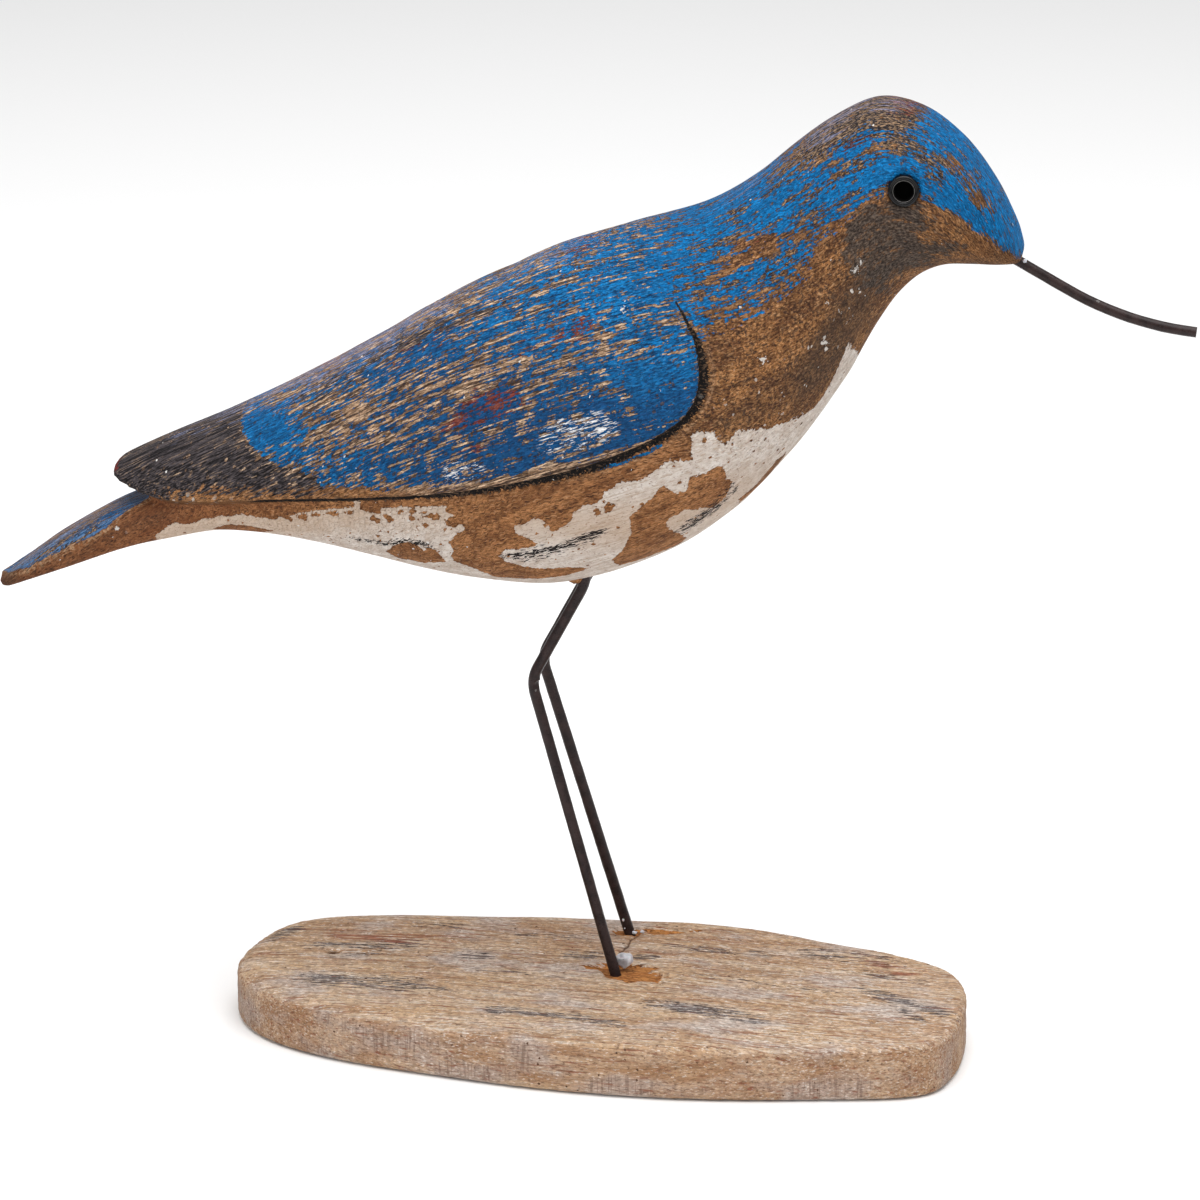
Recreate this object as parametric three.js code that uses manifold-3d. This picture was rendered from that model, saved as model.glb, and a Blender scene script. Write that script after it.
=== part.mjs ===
// A shorebird decoy: a bird carved from one block of wood, with folded wings cut in low relief,
// wire legs and a wire bill, on an oval slab of driftwood.
// Millimetres. +X is the way the bird looks, +Y its left, +Z up.
// The origin is the middle of the slab's underside.

import * as THREE from "three";
import { LoftGeometry } from "three/addons/geometries/LoftGeometry.js";
import { mergeVertices } from "three/addons/utils/BufferGeometryUtils.js";
import Module from "manifold-3d";

const wasm = await Module();
wasm.setup();

// Driving sizes of the bird
const BIRD_LENGTH = 274; // tail tip to the root of the bill
const BODY_WIDTH = 70; // across the breast, under the wings
const WING_RELIEF = 1.8; // how far the carved wings stand out of the flanks

// Driving sizes of the driftwood slab
const SLAB_LENGTH = 199;
const SLAB_WIDTH = 90.5;
const SLAB_THICKNESS = 14.5;
const SLAB_TOP_ROUND = 2.8;
const SLAB_UNDER_ROUND = 1;

// Driving sizes of the legs, both of one wire with a bend at the belly and one at the knee
const LEG_WIRE = 3;
const LEG_HEIGHT = 107; // top of the slab to the underside of the belly
const HIP_SPREAD = 19; // between the two holes in the belly
const FOOT_SPREAD = 29.2; // between the two holes in the slab
const HIP_BEND_RISE = 2.4; // the first bend, above the lowest line of the belly
const KNEE_DROP = 26; // belly down to the knee
const KNEE_SET_BACK = 15; // knee behind the hips
const FOOT_SET_FORWARD = 8.4; // feet ahead of the hips
const LEG_BEND = 4; // straight wire that each bend takes up, on either side

// Where the bird stands on the slab
const FEET_AHEAD = 3.6; // feet ahead of the slab's middle
const FEET_ASIDE = 20; // the bird's middle plane, to the left of the slab's

// Driving sizes of the bill, a thinner wire with one long bend
const BILL_WIRE = 2.8;
const BILL_STRAIGHT = 14; // from the head to the bend
const BILL_BEND = 18.1; // straight wire that the bend takes up, on either side
const BILL_ROOT_DIP = 29; // degrees below level where it leaves the head
const BILL_TIP_DIP = 5; // degrees below level at its tip

// Driving sizes of the eyes, black cups with a round rim
const EYE_DIAMETER = 8;
const EYE_CUP_DIAMETER = 5.8;
const EYE_CUP_DEPTH = 2.4;
const EYE_LENGTH = 5;
const EYE_PROUD = 0.9; // how far the rim stands out of the head

// Drilled holes
const BODY_HOLE_DEPTH = 12;
const SLAB_HOLE_DEPTH = 9;
const BILL_HOLE_DEPTH = 10;
const CLEARANCE = 0.3; // all round a wire or an eye in its hole, and at the end of the hole

// A drop of glue that set beside the right foot
const GLUE_DROP = 3.6;

// The carver's pattern is drawn in squares, 27.4 of them from the tail tip to the root of the bill.
// Its zero is on the belly, midway between the leg holes. A station is one cut across the bird:
// where it meets the back, where it meets the underside, its half width as a share of half the body's,
// how full its corners are (2 is an ellipse) and how high its widest place is, as a share of its height.
const SQUARE = BIRD_LENGTH / 27.4;
const HALF_WIDTH = BODY_WIDTH / 2;

const TRUNK = [
  { back: [-16.06, -0.52], under: [-16.04, -0.78], wide: 0.14, full: 2.6, widest: 0.5 },
  { back: [-15.84, -0.33], under: [-15.8, -0.71], wide: 0.19, full: 3.0, widest: 0.5 },
  { back: [-15.3, 0.03], under: [-15.2, -0.54], wide: 0.23, full: 3.6, widest: 0.5 },
  { back: [-14.4, 0.62], under: [-14.2, -0.17], wide: 0.26, full: 4.0, widest: 0.5 },
  { back: [-13.1, 1.47], under: [-12.7, 0.45], wide: 0.31, full: 3.8, widest: 0.5 },
  { back: [-11.6, 2.14], under: [-11.1, 0.93], wide: 0.42, full: 3.2, widest: 0.48 },
  { back: [-10.0, 3.0], under: [-9.6, 1.27], wide: 0.57, full: 2.8, widest: 0.46 },
  { back: [-8.2, 4.15], under: [-7.8, 1.13], wide: 0.72, full: 2.5, widest: 0.46 },
  { back: [-6.1, 5.7], under: [-5.6, 0.64], wide: 0.85, full: 2.3, widest: 0.48 },
  { back: [-3.8, 7.4], under: [-3.1, 0.13], wide: 0.95, full: 2.2, widest: 0.48 },
  { back: [-1.4, 8.9], under: [-0.7, 0.04], wide: 1.0, full: 2.15, widest: 0.48 },
  { back: [1.0, 9.78], under: [1.8, 0.87], wide: 1.0, full: 2.15, widest: 0.47 },
  { back: [3.0, 10.45], under: [3.8, 2.19], wide: 0.93, full: 2.1, widest: 0.45 },
  { back: [4.3, 11.24], under: [5.4, 3.93], wide: 0.8, full: 2.1, widest: 0.42 },
  { back: [5.25, 12.04], under: [6.7, 5.83], wide: 0.68, full: 2.1, widest: 0.42 },
  { back: [6.3, 12.86], under: [7.66, 7.63], wide: 0.59, full: 2.1, widest: 0.45 },
  { back: [7.5, 13.4], under: [8.45, 8.63], wide: 0.545, full: 2.1, widest: 0.5 },
  { back: [8.7, 13.16], under: [9.2, 9.05], wide: 0.52, full: 2.1, widest: 0.5 },
  { back: [9.7, 12.41], under: [9.95, 9.12], wide: 0.47, full: 2.1, widest: 0.5 },
  { back: [10.54, 11.35], under: [10.6, 9.12], wide: 0.38, full: 2.1, widest: 0.48 },
  { back: [11.1, 10.32], under: [11.1, 9.15], wide: 0.25, full: 2.1, widest: 0.42 },
  { back: [11.34, 9.6], under: [11.24, 9.16], wide: 0.1, full: 2.1, widest: 0.4 },
];

// The folded wings and the back between them, which end in one blunt tip over the tail. Their relief
// comes on top of these half widths. At the shoulders they sink into the trunk towards the top.
const WINGS = [
  { back: [-12.92, 2.66], under: [-12.9, 2.42], wide: 0.08, full: 2.3, widest: 0.45 },
  { back: [-12.76, 2.84], under: [-12.7, 2.22], wide: 0.2, full: 2.4, widest: 0.4 },
  { back: [-12.3, 3.09], under: [-12.1, 2.0], wide: 0.29, full: 2.4, widest: 0.34 },
  { back: [-11.4, 3.53], under: [-11.1, 1.6], wide: 0.42, full: 2.3, widest: 0.34 },
  { back: [-9.8, 4.26], under: [-9.5, 1.1], wide: 0.59, full: 2.2, widest: 0.38 },
  { back: [-7.9, 5.23], under: [-7.5, 0.7], wide: 0.74, full: 2.2, widest: 0.42 },
  { back: [-5.7, 6.48], under: [-5.2, 0.2], wide: 0.87, full: 2.2, widest: 0.46 },
  { back: [-3.3, 7.94], under: [-2.7, -0.15], wide: 0.96, full: 2.2, widest: 0.48 },
  { back: [-1.0, 8.96], under: [-0.4, -0.05], wide: 1.0, full: 2.1, widest: 0.48 },
  { back: [1.2, 9.68], under: [2.0, 0.8], wide: 1.0, full: 2.0, widest: 0.46 },
  { back: [3.2, 10.3], under: [4.0, 2.2], wide: 0.93, full: 2.0, widest: 0.43 },
];

// The wing's outline from the side: its lower edge from the tip forward, round the shoulder and up.
const WING_EDGE = [
  [-13.2, 2.62],
  [-12.5, 2.4],
  [-11.8, 2.2],
  [-11.0, 2.16],
  [-9.6, 2.36],
  [-7.5, 2.7],
  [-4.6, 3.04],
  [-2.4, 3.42],
  [-0.4, 3.92],
  [1.3, 4.54],
  [2.4, 5.12],
  [3.1, 5.8],
  [3.32, 6.6],
  [3.2, 7.4],
  [2.8, 8.14],
  [2.4, 8.6],
];
const ABOVE_BACK = 13; // in squares: higher than the wings reach

const RINGS_PER_STATION = 3;
const RING_POINTS = 32;

const degrees = THREE.MathUtils.degToRad;

// Joining and cutting of closed meshes

function solidOf(geometry) {
  const bare = geometry.clone();
  bare.deleteAttribute("normal");
  bare.deleteAttribute("uv");
  const merged = mergeVertices(bare, 1e-4);
  return new wasm.Manifold(
    new wasm.Mesh({
      numProp: 3,
      vertProperties: merged.attributes.position.array,
      triVerts: new Uint32Array(merged.index.array),
    }),
  );
}

function geometryOf(solid) {
  const mesh = solid.getMesh();
  const geometry = new THREE.BufferGeometry();
  geometry.setAttribute("position", new THREE.BufferAttribute(mesh.vertProperties, 3));
  geometry.setIndex(new THREE.BufferAttribute(mesh.triVerts, 1));
  const shaded = geometry.toNonIndexed();
  shaded.computeVertexNormals();
  return shaded;
}

function cutFrom(solid, cutters) {
  return cutters.reduce((left, cutter) => left.subtract(solidOf(cutter)), solid);
}

// A round cutter from one point towards another, for a drilled hole
function drill(diameter, from, to) {
  const length = from.distanceTo(to);
  const bit = new THREE.CylinderGeometry(diameter / 2, diameter / 2, length, 16);
  const along = to.clone().sub(from).normalize();
  const turn = new THREE.Quaternion().setFromUnitVectors(new THREE.Vector3(0, 1, 0), along);
  const middle = from.clone().lerp(to, 0.5);
  return bit.applyMatrix4(new THREE.Matrix4().compose(middle, turn, new THREE.Vector3(1, 1, 1)));
}

// Carved forms, lofted through their stations

function smooth(points) {
  return new THREE.CatmullRomCurve3(points, false, "catmullrom", 0.5);
}

class CarvedForm {
  constructor(stations, relief = 0) {
    this.stations = stations;
    this.relief = relief;
    this.back = smooth(stations.map((s) => new THREE.Vector3(s.back[0], 0, s.back[1])));
    this.under = smooth(stations.map((s) => new THREE.Vector3(s.under[0], 0, s.under[1])));
    this.section = smooth(stations.map((s) => new THREE.Vector3(s.wide, s.full, s.widest)));
  }

  // A point of the surface: share is 0 at the tail and 1 at the head, and angle is 0 on the bird's
  // left, a quarter turn on its back, a half turn on its right and three quarters under its belly.
  point(share, angle) {
    const back = this.back.getPoint(share).multiplyScalar(SQUARE);
    const under = this.under.getPoint(share).multiplyScalar(SQUARE);
    const { x: wide, y: full, z: widest } = this.section.getPoint(share);
    const rounded = (v) => Math.sign(v) * Math.abs(v) ** (2 / full);
    const up = rounded(Math.sin(angle));
    const height = widest + up * (up > 0 ? 1 - widest : widest);
    const point = under.clone().lerp(back, height);
    point.y = (wide * HALF_WIDTH + this.relief) * rounded(Math.cos(angle));
    return point;
  }

  // The direction straight out of the surface there
  outward(share, angle) {
    const step = 1e-3;
    const along = this.point(share + step, angle).sub(this.point(share - step, angle));
    const around = this.point(share, angle + step).sub(this.point(share, angle - step));
    return around.cross(along).normalize();
  }

  geometry() {
    const rings = (this.stations.length - 1) * RINGS_PER_STATION;
    const sections = [];
    for (let ring = 0; ring <= rings; ring++) {
      const points = [];
      for (let i = 0; i < RING_POINTS; i++) {
        points.push(this.point(ring / rings, (2 * Math.PI * i) / RING_POINTS));
      }
      sections.push(points);
    }
    const loft = new LoftGeometry(sections, { capStart: true, capEnd: true });
    return new THREE.BufferGeometry().copy(loft);
  }
}

const trunk = new CarvedForm(TRUNK);
const wings = new CarvedForm(WINGS, WING_RELIEF);

// A straight-sided block with the wing's outline, wider than the bird
function wingBlock() {
  const edge = smooth(WING_EDGE.map(([x, z]) => new THREE.Vector3(x, z, 0)));
  const outline = edge.getPoints(WING_EDGE.length * 4);
  const [tail, shoulder] = [outline[0].x - 1, outline.at(-1).x - 1];
  const shape = new THREE.Shape([
    ...outline.map((p) => new THREE.Vector2(p.x * SQUARE, p.y * SQUARE)),
    new THREE.Vector2(shoulder * SQUARE, ABOVE_BACK * SQUARE),
    new THREE.Vector2(tail * SQUARE, ABOVE_BACK * SQUARE),
    new THREE.Vector2(tail * SQUARE, WING_EDGE[0][1] * SQUARE),
  ]);
  const width = 2 * BODY_WIDTH;
  const block = new THREE.ExtrudeGeometry(shape, { depth: width, bevelEnabled: false });
  return block.rotateX(Math.PI / 2).translate(0, width / 2, 0);
}

// The wires

// A straight run, a rounded bend at each inner corner and a straight run again
function bentWire(corners, bend) {
  const path = new THREE.CurvePath();
  let start = corners[0];
  const runTo = (end) => {
    if (start.distanceTo(end) > 1e-3) path.add(new THREE.LineCurve3(start, end));
    start = end;
  };
  for (let i = 1; i < corners.length - 1; i++) {
    runTo(corners[i].clone().add(towards(corners[i], corners[i - 1], bend)));
    const after = corners[i].clone().add(towards(corners[i], corners[i + 1], bend));
    path.add(new THREE.QuadraticBezierCurve3(start, corners[i], after));
    start = after;
  }
  runTo(corners.at(-1));
  return path;
}

function towards(from, to, length) {
  return to.clone().sub(from).setLength(length);
}

function wireAlong(path, diameter, steps) {
  const round = new THREE.Shape().absarc(0, 0, diameter / 2, 0, 2 * Math.PI);
  return new THREE.ExtrudeGeometry(round, { steps, curveSegments: 5, extrudePath: path });
}

// side is 1 for the left leg and -1 for the right. Zero is on the belly, as in the pattern.
// With a gap it is the cutter for the leg's holes: thicker all round, and longer at both ends.
function leg(side, gap = 0) {
  const hip = new THREE.Vector3(0, (side * HIP_SPREAD) / 2, HIP_BEND_RISE);
  const top = hip.clone().setZ(BODY_HOLE_DEPTH + gap);
  const knee = new THREE.Vector3(-KNEE_SET_BACK, hip.y, -KNEE_DROP);
  const foot = footPlace(side);
  const bottom = foot.clone().add(towards(knee, foot, SLAB_HOLE_DEPTH + gap));
  return wireAlong(bentWire([top, hip, knee, bottom], LEG_BEND), LEG_WIRE + 2 * gap, 44);
}

function footPlace(side) {
  return new THREE.Vector3(FOOT_SET_FORWARD, (side * FOOT_SPREAD) / 2, -LEG_HEIGHT);
}

// The bill leaves the head where its front meets its underside. With a gap it is the hole's cutter.
function bill(gap = 0) {
  const [x, z] = TRUNK.at(-1).under;
  const root = new THREE.Vector3(x * SQUARE, 0, z * SQUARE);
  const inHead = root.clone().addScaledVector(dipping(BILL_ROOT_DIP), -BILL_HOLE_DEPTH - gap);
  const bend = root.clone().addScaledVector(dipping(BILL_ROOT_DIP), BILL_STRAIGHT + BILL_BEND);
  const tip = bend.clone().addScaledVector(dipping(BILL_TIP_DIP), BILL_BEND);
  return wireAlong(bentWire([inHead, bend, tip], BILL_BEND), BILL_WIRE + 2 * gap, 22);
}

function dipping(angle) {
  return new THREE.Vector3(Math.cos(degrees(angle)), 0, -Math.sin(degrees(angle)));
}

// The eyes

// Where the eyes are on the head: how far along the trunk, and how far above its widest place
const EYE_SHARE = 0.7815;
const EYE_LIFT = degrees(6.5);

// side is 1 for the left eye and -1 for the right
function eyePlace(side) {
  const angle = side > 0 ? EYE_LIFT : Math.PI - EYE_LIFT;
  return { at: trunk.point(EYE_SHARE, angle), out: trunk.outward(EYE_SHARE, angle) };
}

// The eye's axis is its own +Y, and its zero is on the head's surface
function eye() {
  const radius = EYE_DIAMETER / 2;
  const cup = EYE_CUP_DIAMETER / 2;
  const rim = (radius - cup) / 2;
  const back = EYE_PROUD - EYE_LENGTH;
  const profile = [new THREE.Vector2(0, back), new THREE.Vector2(radius, back)];
  const arcSteps = 6;
  for (let i = 0; i <= arcSteps; i++) {
    const angle = (Math.PI * i) / arcSteps;
    profile.push(
      new THREE.Vector2(cup + rim + rim * Math.cos(angle), EYE_PROUD - rim + rim * Math.sin(angle)),
    );
  }
  profile.push(new THREE.Vector2(cup, EYE_PROUD - EYE_CUP_DEPTH));
  profile.push(new THREE.Vector2(0, EYE_PROUD - EYE_CUP_DEPTH));
  return new THREE.LatheGeometry(profile, 16);
}

function eyeSocket(side) {
  const { at, out } = eyePlace(side);
  const depth = EYE_LENGTH - EYE_PROUD + CLEARANCE;
  const inside = at.clone().addScaledVector(out, -depth);
  const outside = at.clone().addScaledVector(out, EYE_DIAMETER);
  return drill(EYE_DIAMETER + 2 * CLEARANCE, inside, outside);
}

// The carved body, one solid: trunk and wings joined, then drilled
function carvedBody() {
  const cape = solidOf(wings.geometry()).intersect(solidOf(wingBlock()));
  const carved = solidOf(trunk.geometry()).add(cape);
  const sockets = [eyeSocket(1), eyeSocket(-1)];
  const holes = [leg(1, CLEARANCE), leg(-1, CLEARANCE), bill(CLEARANCE)];
  return geometryOf(cutFrom(carved, [...sockets, ...holes]));
}

// The driftwood slab: an oval that water wore out of true, drilled for the feet.
// Its outline goes round from the left end by way of the front, in shares of half its length
// and half its width.
const SLAB_OUTLINE = [
  [-0.996, -0.03],
  [-0.905, -0.41],
  [-0.7, -0.68],
  [-0.38, -0.86],
  [-0.05, -0.98],
  [0.28, -0.998],
  [0.62, -0.91],
  [0.9, -0.77],
  [0.984, -0.46],
  [0.996, 0.06],
  [0.94, 0.43],
  [0.8, 0.645],
  [0.6, 0.785],
  [0.38, 0.945],
  [0.08, 0.998],
  [-0.28, 0.98],
  [-0.65, 0.93],
  [-0.885, 0.75],
  [-0.975, 0.41],
];

function slabOutline(inset, height) {
  const corners = SLAB_OUTLINE.map(
    ([x, y]) => new THREE.Vector3((x * SLAB_LENGTH) / 2, (y * SLAB_WIDTH) / 2, height),
  );
  const edge = new THREE.CatmullRomCurve3(corners, true, "catmullrom", 0.5);
  const count = corners.length * 3;
  const points = [];
  for (let i = 0; i < count; i++) {
    const along = edge.getTangent(i / count);
    const inwards = new THREE.Vector3(-along.y, along.x, 0);
    points.push(edge.getPoint(i / count).addScaledVector(inwards, inset));
  }
  return points;
}

function driftwoodSlab() {
  const layers = [];
  for (const turn of [0, 45, 90].map(degrees)) {
    const inset = SLAB_UNDER_ROUND * (1 - Math.sin(turn));
    layers.push(slabOutline(inset, SLAB_UNDER_ROUND * (1 - Math.cos(turn))));
  }
  for (const turn of [0, 30, 60, 90].map(degrees)) {
    const inset = SLAB_TOP_ROUND * (1 - Math.cos(turn));
    const drop = SLAB_TOP_ROUND * (1 - Math.sin(turn));
    layers.push(slabOutline(inset, SLAB_THICKNESS - drop));
  }
  const loft = new LoftGeometry(layers, { capStart: true, capEnd: true });
  const slab = solidOf(new THREE.BufferGeometry().copy(loft));
  const feet = [leg(1, CLEARANCE), leg(-1, CLEARANCE)];
  return geometryOf(cutFrom(slab, feet.map((foot) => foot.translate(...hipPlace()))));
}

// A flattened lump on the slab, ahead of the right foot and inside it
function glueDrop() {
  const lump = new THREE.IcosahedronGeometry(GLUE_DROP / 2, 1);
  lump.deleteAttribute("uv");
  return mergeVertices(lump).scale(1, 0.9, 0.9);
}

function gluePlace() {
  const inside = new THREE.Vector3(1, 1, 0).setLength((LEG_WIRE + GLUE_DROP) / 2 + CLEARANCE);
  return footPlace(-1)
    .add(inside)
    .add(new THREE.Vector3(0, 0, GLUE_DROP / 2));
}

// Placing of all the pieces

function hipPlace() {
  return [FEET_AHEAD - FOOT_SET_FORWARD, FEET_ASIDE, SLAB_THICKNESS + LEG_HEIGHT];
}

const paintedWood = new THREE.MeshStandardMaterial({ color: 0x2b62a8, roughness: 0.75 });
const blackenedWire = new THREE.MeshStandardMaterial({
  color: 0x2e2524,
  roughness: 0.5,
  metalness: 0.3,
});
const blackGloss = new THREE.MeshStandardMaterial({ color: 0x060606, roughness: 0.15 });
const driftwood = new THREE.MeshStandardMaterial({ color: 0xb59a80, roughness: 0.85 });
const driedGlue = new THREE.MeshStandardMaterial({ color: 0xd8d6d4, roughness: 0.6 });

function piece(name, geometry, material) {
  const mesh = new THREE.Mesh(geometry, material);
  mesh.name = name;
  return mesh;
}

function eyePiece(name, side) {
  const mesh = piece(name, eye(), blackGloss);
  const { at, out } = eyePlace(side);
  mesh.position.copy(at);
  mesh.quaternion.setFromUnitVectors(new THREE.Vector3(0, 1, 0), out);
  return mesh;
}

const bird = new THREE.Group();
bird.position.set(...hipPlace());
bird.add(
  piece("carved_body", carvedBody(), paintedWood),
  piece("bill_wire", bill(), blackenedWire),
  piece("leg_right", leg(-1), blackenedWire),
  piece("leg_left", leg(1), blackenedWire),
  eyePiece("eye_right", -1),
  eyePiece("eye_left", 1),
);

const drop = piece("glue_drop", glueDrop(), driedGlue);
drop.position.copy(gluePlace());
bird.add(drop);

const decoy = new THREE.Group();
decoy.add(piece("driftwood_slab", driftwoodSlab(), driftwood), bird);

export default decoy;
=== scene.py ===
from math import cos, pi, radians, sin

import bpy
import numpy as np
from mathutils import Matrix, Vector, kdtree, noise

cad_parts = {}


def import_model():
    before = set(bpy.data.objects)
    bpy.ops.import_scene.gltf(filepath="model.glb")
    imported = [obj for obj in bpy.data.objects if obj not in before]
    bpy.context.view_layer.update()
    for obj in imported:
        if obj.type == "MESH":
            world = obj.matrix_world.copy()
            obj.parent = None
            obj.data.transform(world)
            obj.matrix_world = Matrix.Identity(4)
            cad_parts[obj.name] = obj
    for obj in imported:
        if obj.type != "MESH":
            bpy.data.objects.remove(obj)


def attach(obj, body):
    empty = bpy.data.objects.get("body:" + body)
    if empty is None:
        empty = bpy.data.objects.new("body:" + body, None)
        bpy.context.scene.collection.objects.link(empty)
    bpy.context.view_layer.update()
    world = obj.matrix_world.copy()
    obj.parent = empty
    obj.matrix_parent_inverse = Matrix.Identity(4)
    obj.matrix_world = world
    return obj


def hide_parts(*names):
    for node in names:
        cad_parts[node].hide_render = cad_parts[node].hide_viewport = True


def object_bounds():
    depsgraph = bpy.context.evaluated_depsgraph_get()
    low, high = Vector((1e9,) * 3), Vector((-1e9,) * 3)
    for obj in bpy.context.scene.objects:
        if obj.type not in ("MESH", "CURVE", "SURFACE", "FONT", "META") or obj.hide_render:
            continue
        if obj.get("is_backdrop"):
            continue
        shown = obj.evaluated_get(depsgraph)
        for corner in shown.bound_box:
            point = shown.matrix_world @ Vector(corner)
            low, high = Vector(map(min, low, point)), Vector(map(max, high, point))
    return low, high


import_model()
cad_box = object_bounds()


# The driftwood slab: an oval sawn from a weathered board, its edges worn round by water. Grey
# streaks and traces of lime follow the grain, and the drill tore the wood where the two legs
# stand in it.
MM = 0.001
SLAB_LENGTH, SLAB_WIDTH, SLAB_THICKNESS = 199.0, 90.5, 14.5
SLAB_TOP_ROUND, SLAB_UNDER_ROUND = 1.7, 1.0
SLAB_RIM_POINTS = 228
SLAB_FACE = 0.85
# Its outline, with half its length and half its width as 1
SLAB_OUTLINE = [
    (-0.996, -0.03), (-0.905, -0.41), (-0.7, -0.68), (-0.38, -0.86), (-0.05, -0.98), (0.28, -0.998),
    (0.62, -0.91), (0.9, -0.77), (0.984, -0.46), (0.996, 0.06), (0.94, 0.43), (0.8, 0.645), (0.6, 0.785),
    (0.38, 0.945), (0.08, 0.998), (-0.28, 0.98), (-0.65, 0.93), (-0.885, 0.75), (-0.975, 0.41),
]
# Dark weather streaks in millimetres: x and y of both ends, half width, and how dark
SLAB_STREAKS = [
    (-81, -10.5, -44, -10, 3.6, 1), (-62, -12.5, -38, -13, 1.2, 0.8), (-28, -24.5, 6, -28, 2.2, 0.95),
    (-6, -26.5, 12, -31.5, 1.6, 0.9), (12, -14.5, 47, -21, 2.6, 0.9), (30, -21, 50, -24.5, 1.5, 0.8),
    (69, 4, 99, -14, 2, 0.9), (79, -4, 90, -20, 1.4, 0.7), (-13, 16.1, -1, 16.2, 1.9, 0.9),
    (6, 16.8, 15, 17, 1.5, 0.7), (-94, 16, -87, 27, 2.2, 1), (-76, 5, -53, 15, 1.4, 0.5),
    (-84, 12, -50, 19, 2.4, 0.8), (-42, 13.5, -30, 10.7, 2.2, 0.7), (50, 28, 80, 22, 3.4, 0.6),
    (-60, 32, -40, 33, 2, 0.5), (20, 8, 70, -2, 1.6, 0.35), (-5, -1, -40, 3, 1.4, 0.35),
    (60, 18, 92, 8, 2.4, 0.4), (-30, 28, 0, 30, 2, 0.4), (10, 26, 50, 24, 2.2, 0.4),
]
# Where lime stayed in the wood, and brown spots: middle, half length, half width, tilt, strength
SLAB_LIMES = [
    (-38, -42, 14, 9, 0, 0.45), (62, -34, 26, 8, 0, 0.45), (75, -10, 26, 12, -20, 0.5),
    (16, 16.6, 5, 1.2, 0, 1), (-22, 17, 6, 1.5, 0, 0.8), (-72, -8, 16, 3, 0, 0.4),
    (30, -18, 18, 4, -8, 0.35), (-60, 12, 20, 3, 0, 0.3), (2, -36, 10, 6, 0, 0.25),
    (60, 14, 20, 6, -15, 0.3), (-88, -20, 8, 12, 0, 0.2), (24, 2, 14, 4, 0, 0.25),
]
SLAB_BROWNS = [
    (-70, 22, 22, 7, 0, 0.6), (-20, 30, 26, 8, 0, 0.5), (30, 33, 26, 6, 0, 0.5), (88, -28, 14, 14, 0, 0.4),
    (-82, -30, 10, 10, 0, 0.5), (8, -8, 16, 4, 0, 0.35), (-6, 20, 30, 5, 0, 0.4), (40, -42, 16, 5, 0, 0.4),
    (-48, -8, 20, 4, 0, 0.3), (72, 22, 16, 8, 0, 0.4),
]
# Traces of red paint, given as the streaks are
SLAB_REDS = [(-81, 20.5, -52, 20.5, 2.4, 0.9), (-64, 24, -42, 23, 1.6, 0.5), (66, 26, 88, 12, 3, 0.5)]
# Small knots and worm holes: x, y and radius
SLAB_PITS = [
    (-74.7, 9.6, 1.5), (41.8, 0, 1), (59.3, -4.6, 0.9), (75.8, -19.7, 0.8), (21.8, -25.2, 0.7),
    (73.2, 31.1, 0.7), (14.9, -4.9, 1), (-20, 24, 0.6), (-48, -22, 0.5), (36, 20, 0.6), (-12, -35, 0.6),
    (62, -33, 0.6),
]
# The torn places round the feet, as outlines on the slab's top, and a crack between them
TORN_RIGHT = [
    (-6.5, 8.2), (-2.2, 10.6), (2.5, 11.2), (6.6, 12.6), (10.5, 10.6), (15.5, 9.6), (13, 7.6), (19.5, 4.6),
    (15.8, 3), (17.5, -1), (11.5, 0.4), (8.5, -1.6), (4.2, 0.6), (1.2, 2.8), (-0.6, 6.2),
]
TORN_LEFT = [
    (-2.6, 35.6), (1, 38.6), (6.5, 37.8), (11, 38.8), (22.5, 38), (17, 35.4), (11.5, 33.6), (7.5, 34.6),
    (5.5, 32.4), (1.5, 32.2),
]
FOOT_CRACK = [(6.5, 33), (4.6, 28.5), (4.4, 24), (3.2, 19.5), (3.6, 15), (5.2, 11.5)]


def alone(piece):
    """Select one piece, and nothing else"""
    bpy.ops.object.select_all(action="DESELECT")
    piece.select_set(True)
    bpy.context.view_layer.objects.active = piece


def new_piece(name):
    """Name the primitive that was just added, and put its place into its mesh"""
    piece = bpy.context.object
    piece.name = piece.data.name = name
    alone(piece)
    bpy.ops.object.transform_apply(location=True, rotation=True, scale=True)
    return piece


def extruded(name, outline, way):
    """A closed block: a flat face with this outline, drawn out along the way"""
    bpy.ops.object.select_all(action="DESELECT")
    bpy.ops.mesh.primitive_circle_add(vertices=len(outline), radius=1, fill_type="NGON")
    block = new_piece(name)
    set_points(block, outline)
    bpy.ops.object.mode_set(mode="EDIT")
    bpy.ops.mesh.select_all(action="SELECT")
    step = [distance * MM for distance in way]
    bpy.ops.mesh.extrude_region_move(TRANSFORM_OT_translate={"value": step})
    bpy.ops.mesh.select_all(action="SELECT")
    bpy.ops.mesh.normals_make_consistent(inside=False)
    bpy.ops.object.mode_set(mode="OBJECT")
    return block


def choose(piece, kind, chosen):
    """Go into edit mode with these edges or faces selected, and nothing else"""
    bpy.ops.object.mode_set(mode="EDIT")
    bpy.ops.mesh.select_mode(type=kind)
    bpy.ops.mesh.select_all(action="DESELECT")
    bpy.ops.object.mode_set(mode="OBJECT")
    parts = piece.data.edges if kind == "EDGE" else piece.data.polygons
    parts.foreach_set("select", chosen)
    bpy.ops.object.mode_set(mode="EDIT")


def shaped_by(piece, kind, **settings):
    """Add a modifier and apply it"""
    alone(piece)
    tool = piece.modifiers.new(kind.title(), kind)
    for setting, value in settings.items():
        setattr(tool, setting, value)
    bpy.ops.object.modifier_apply(modifier=tool.name)


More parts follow.
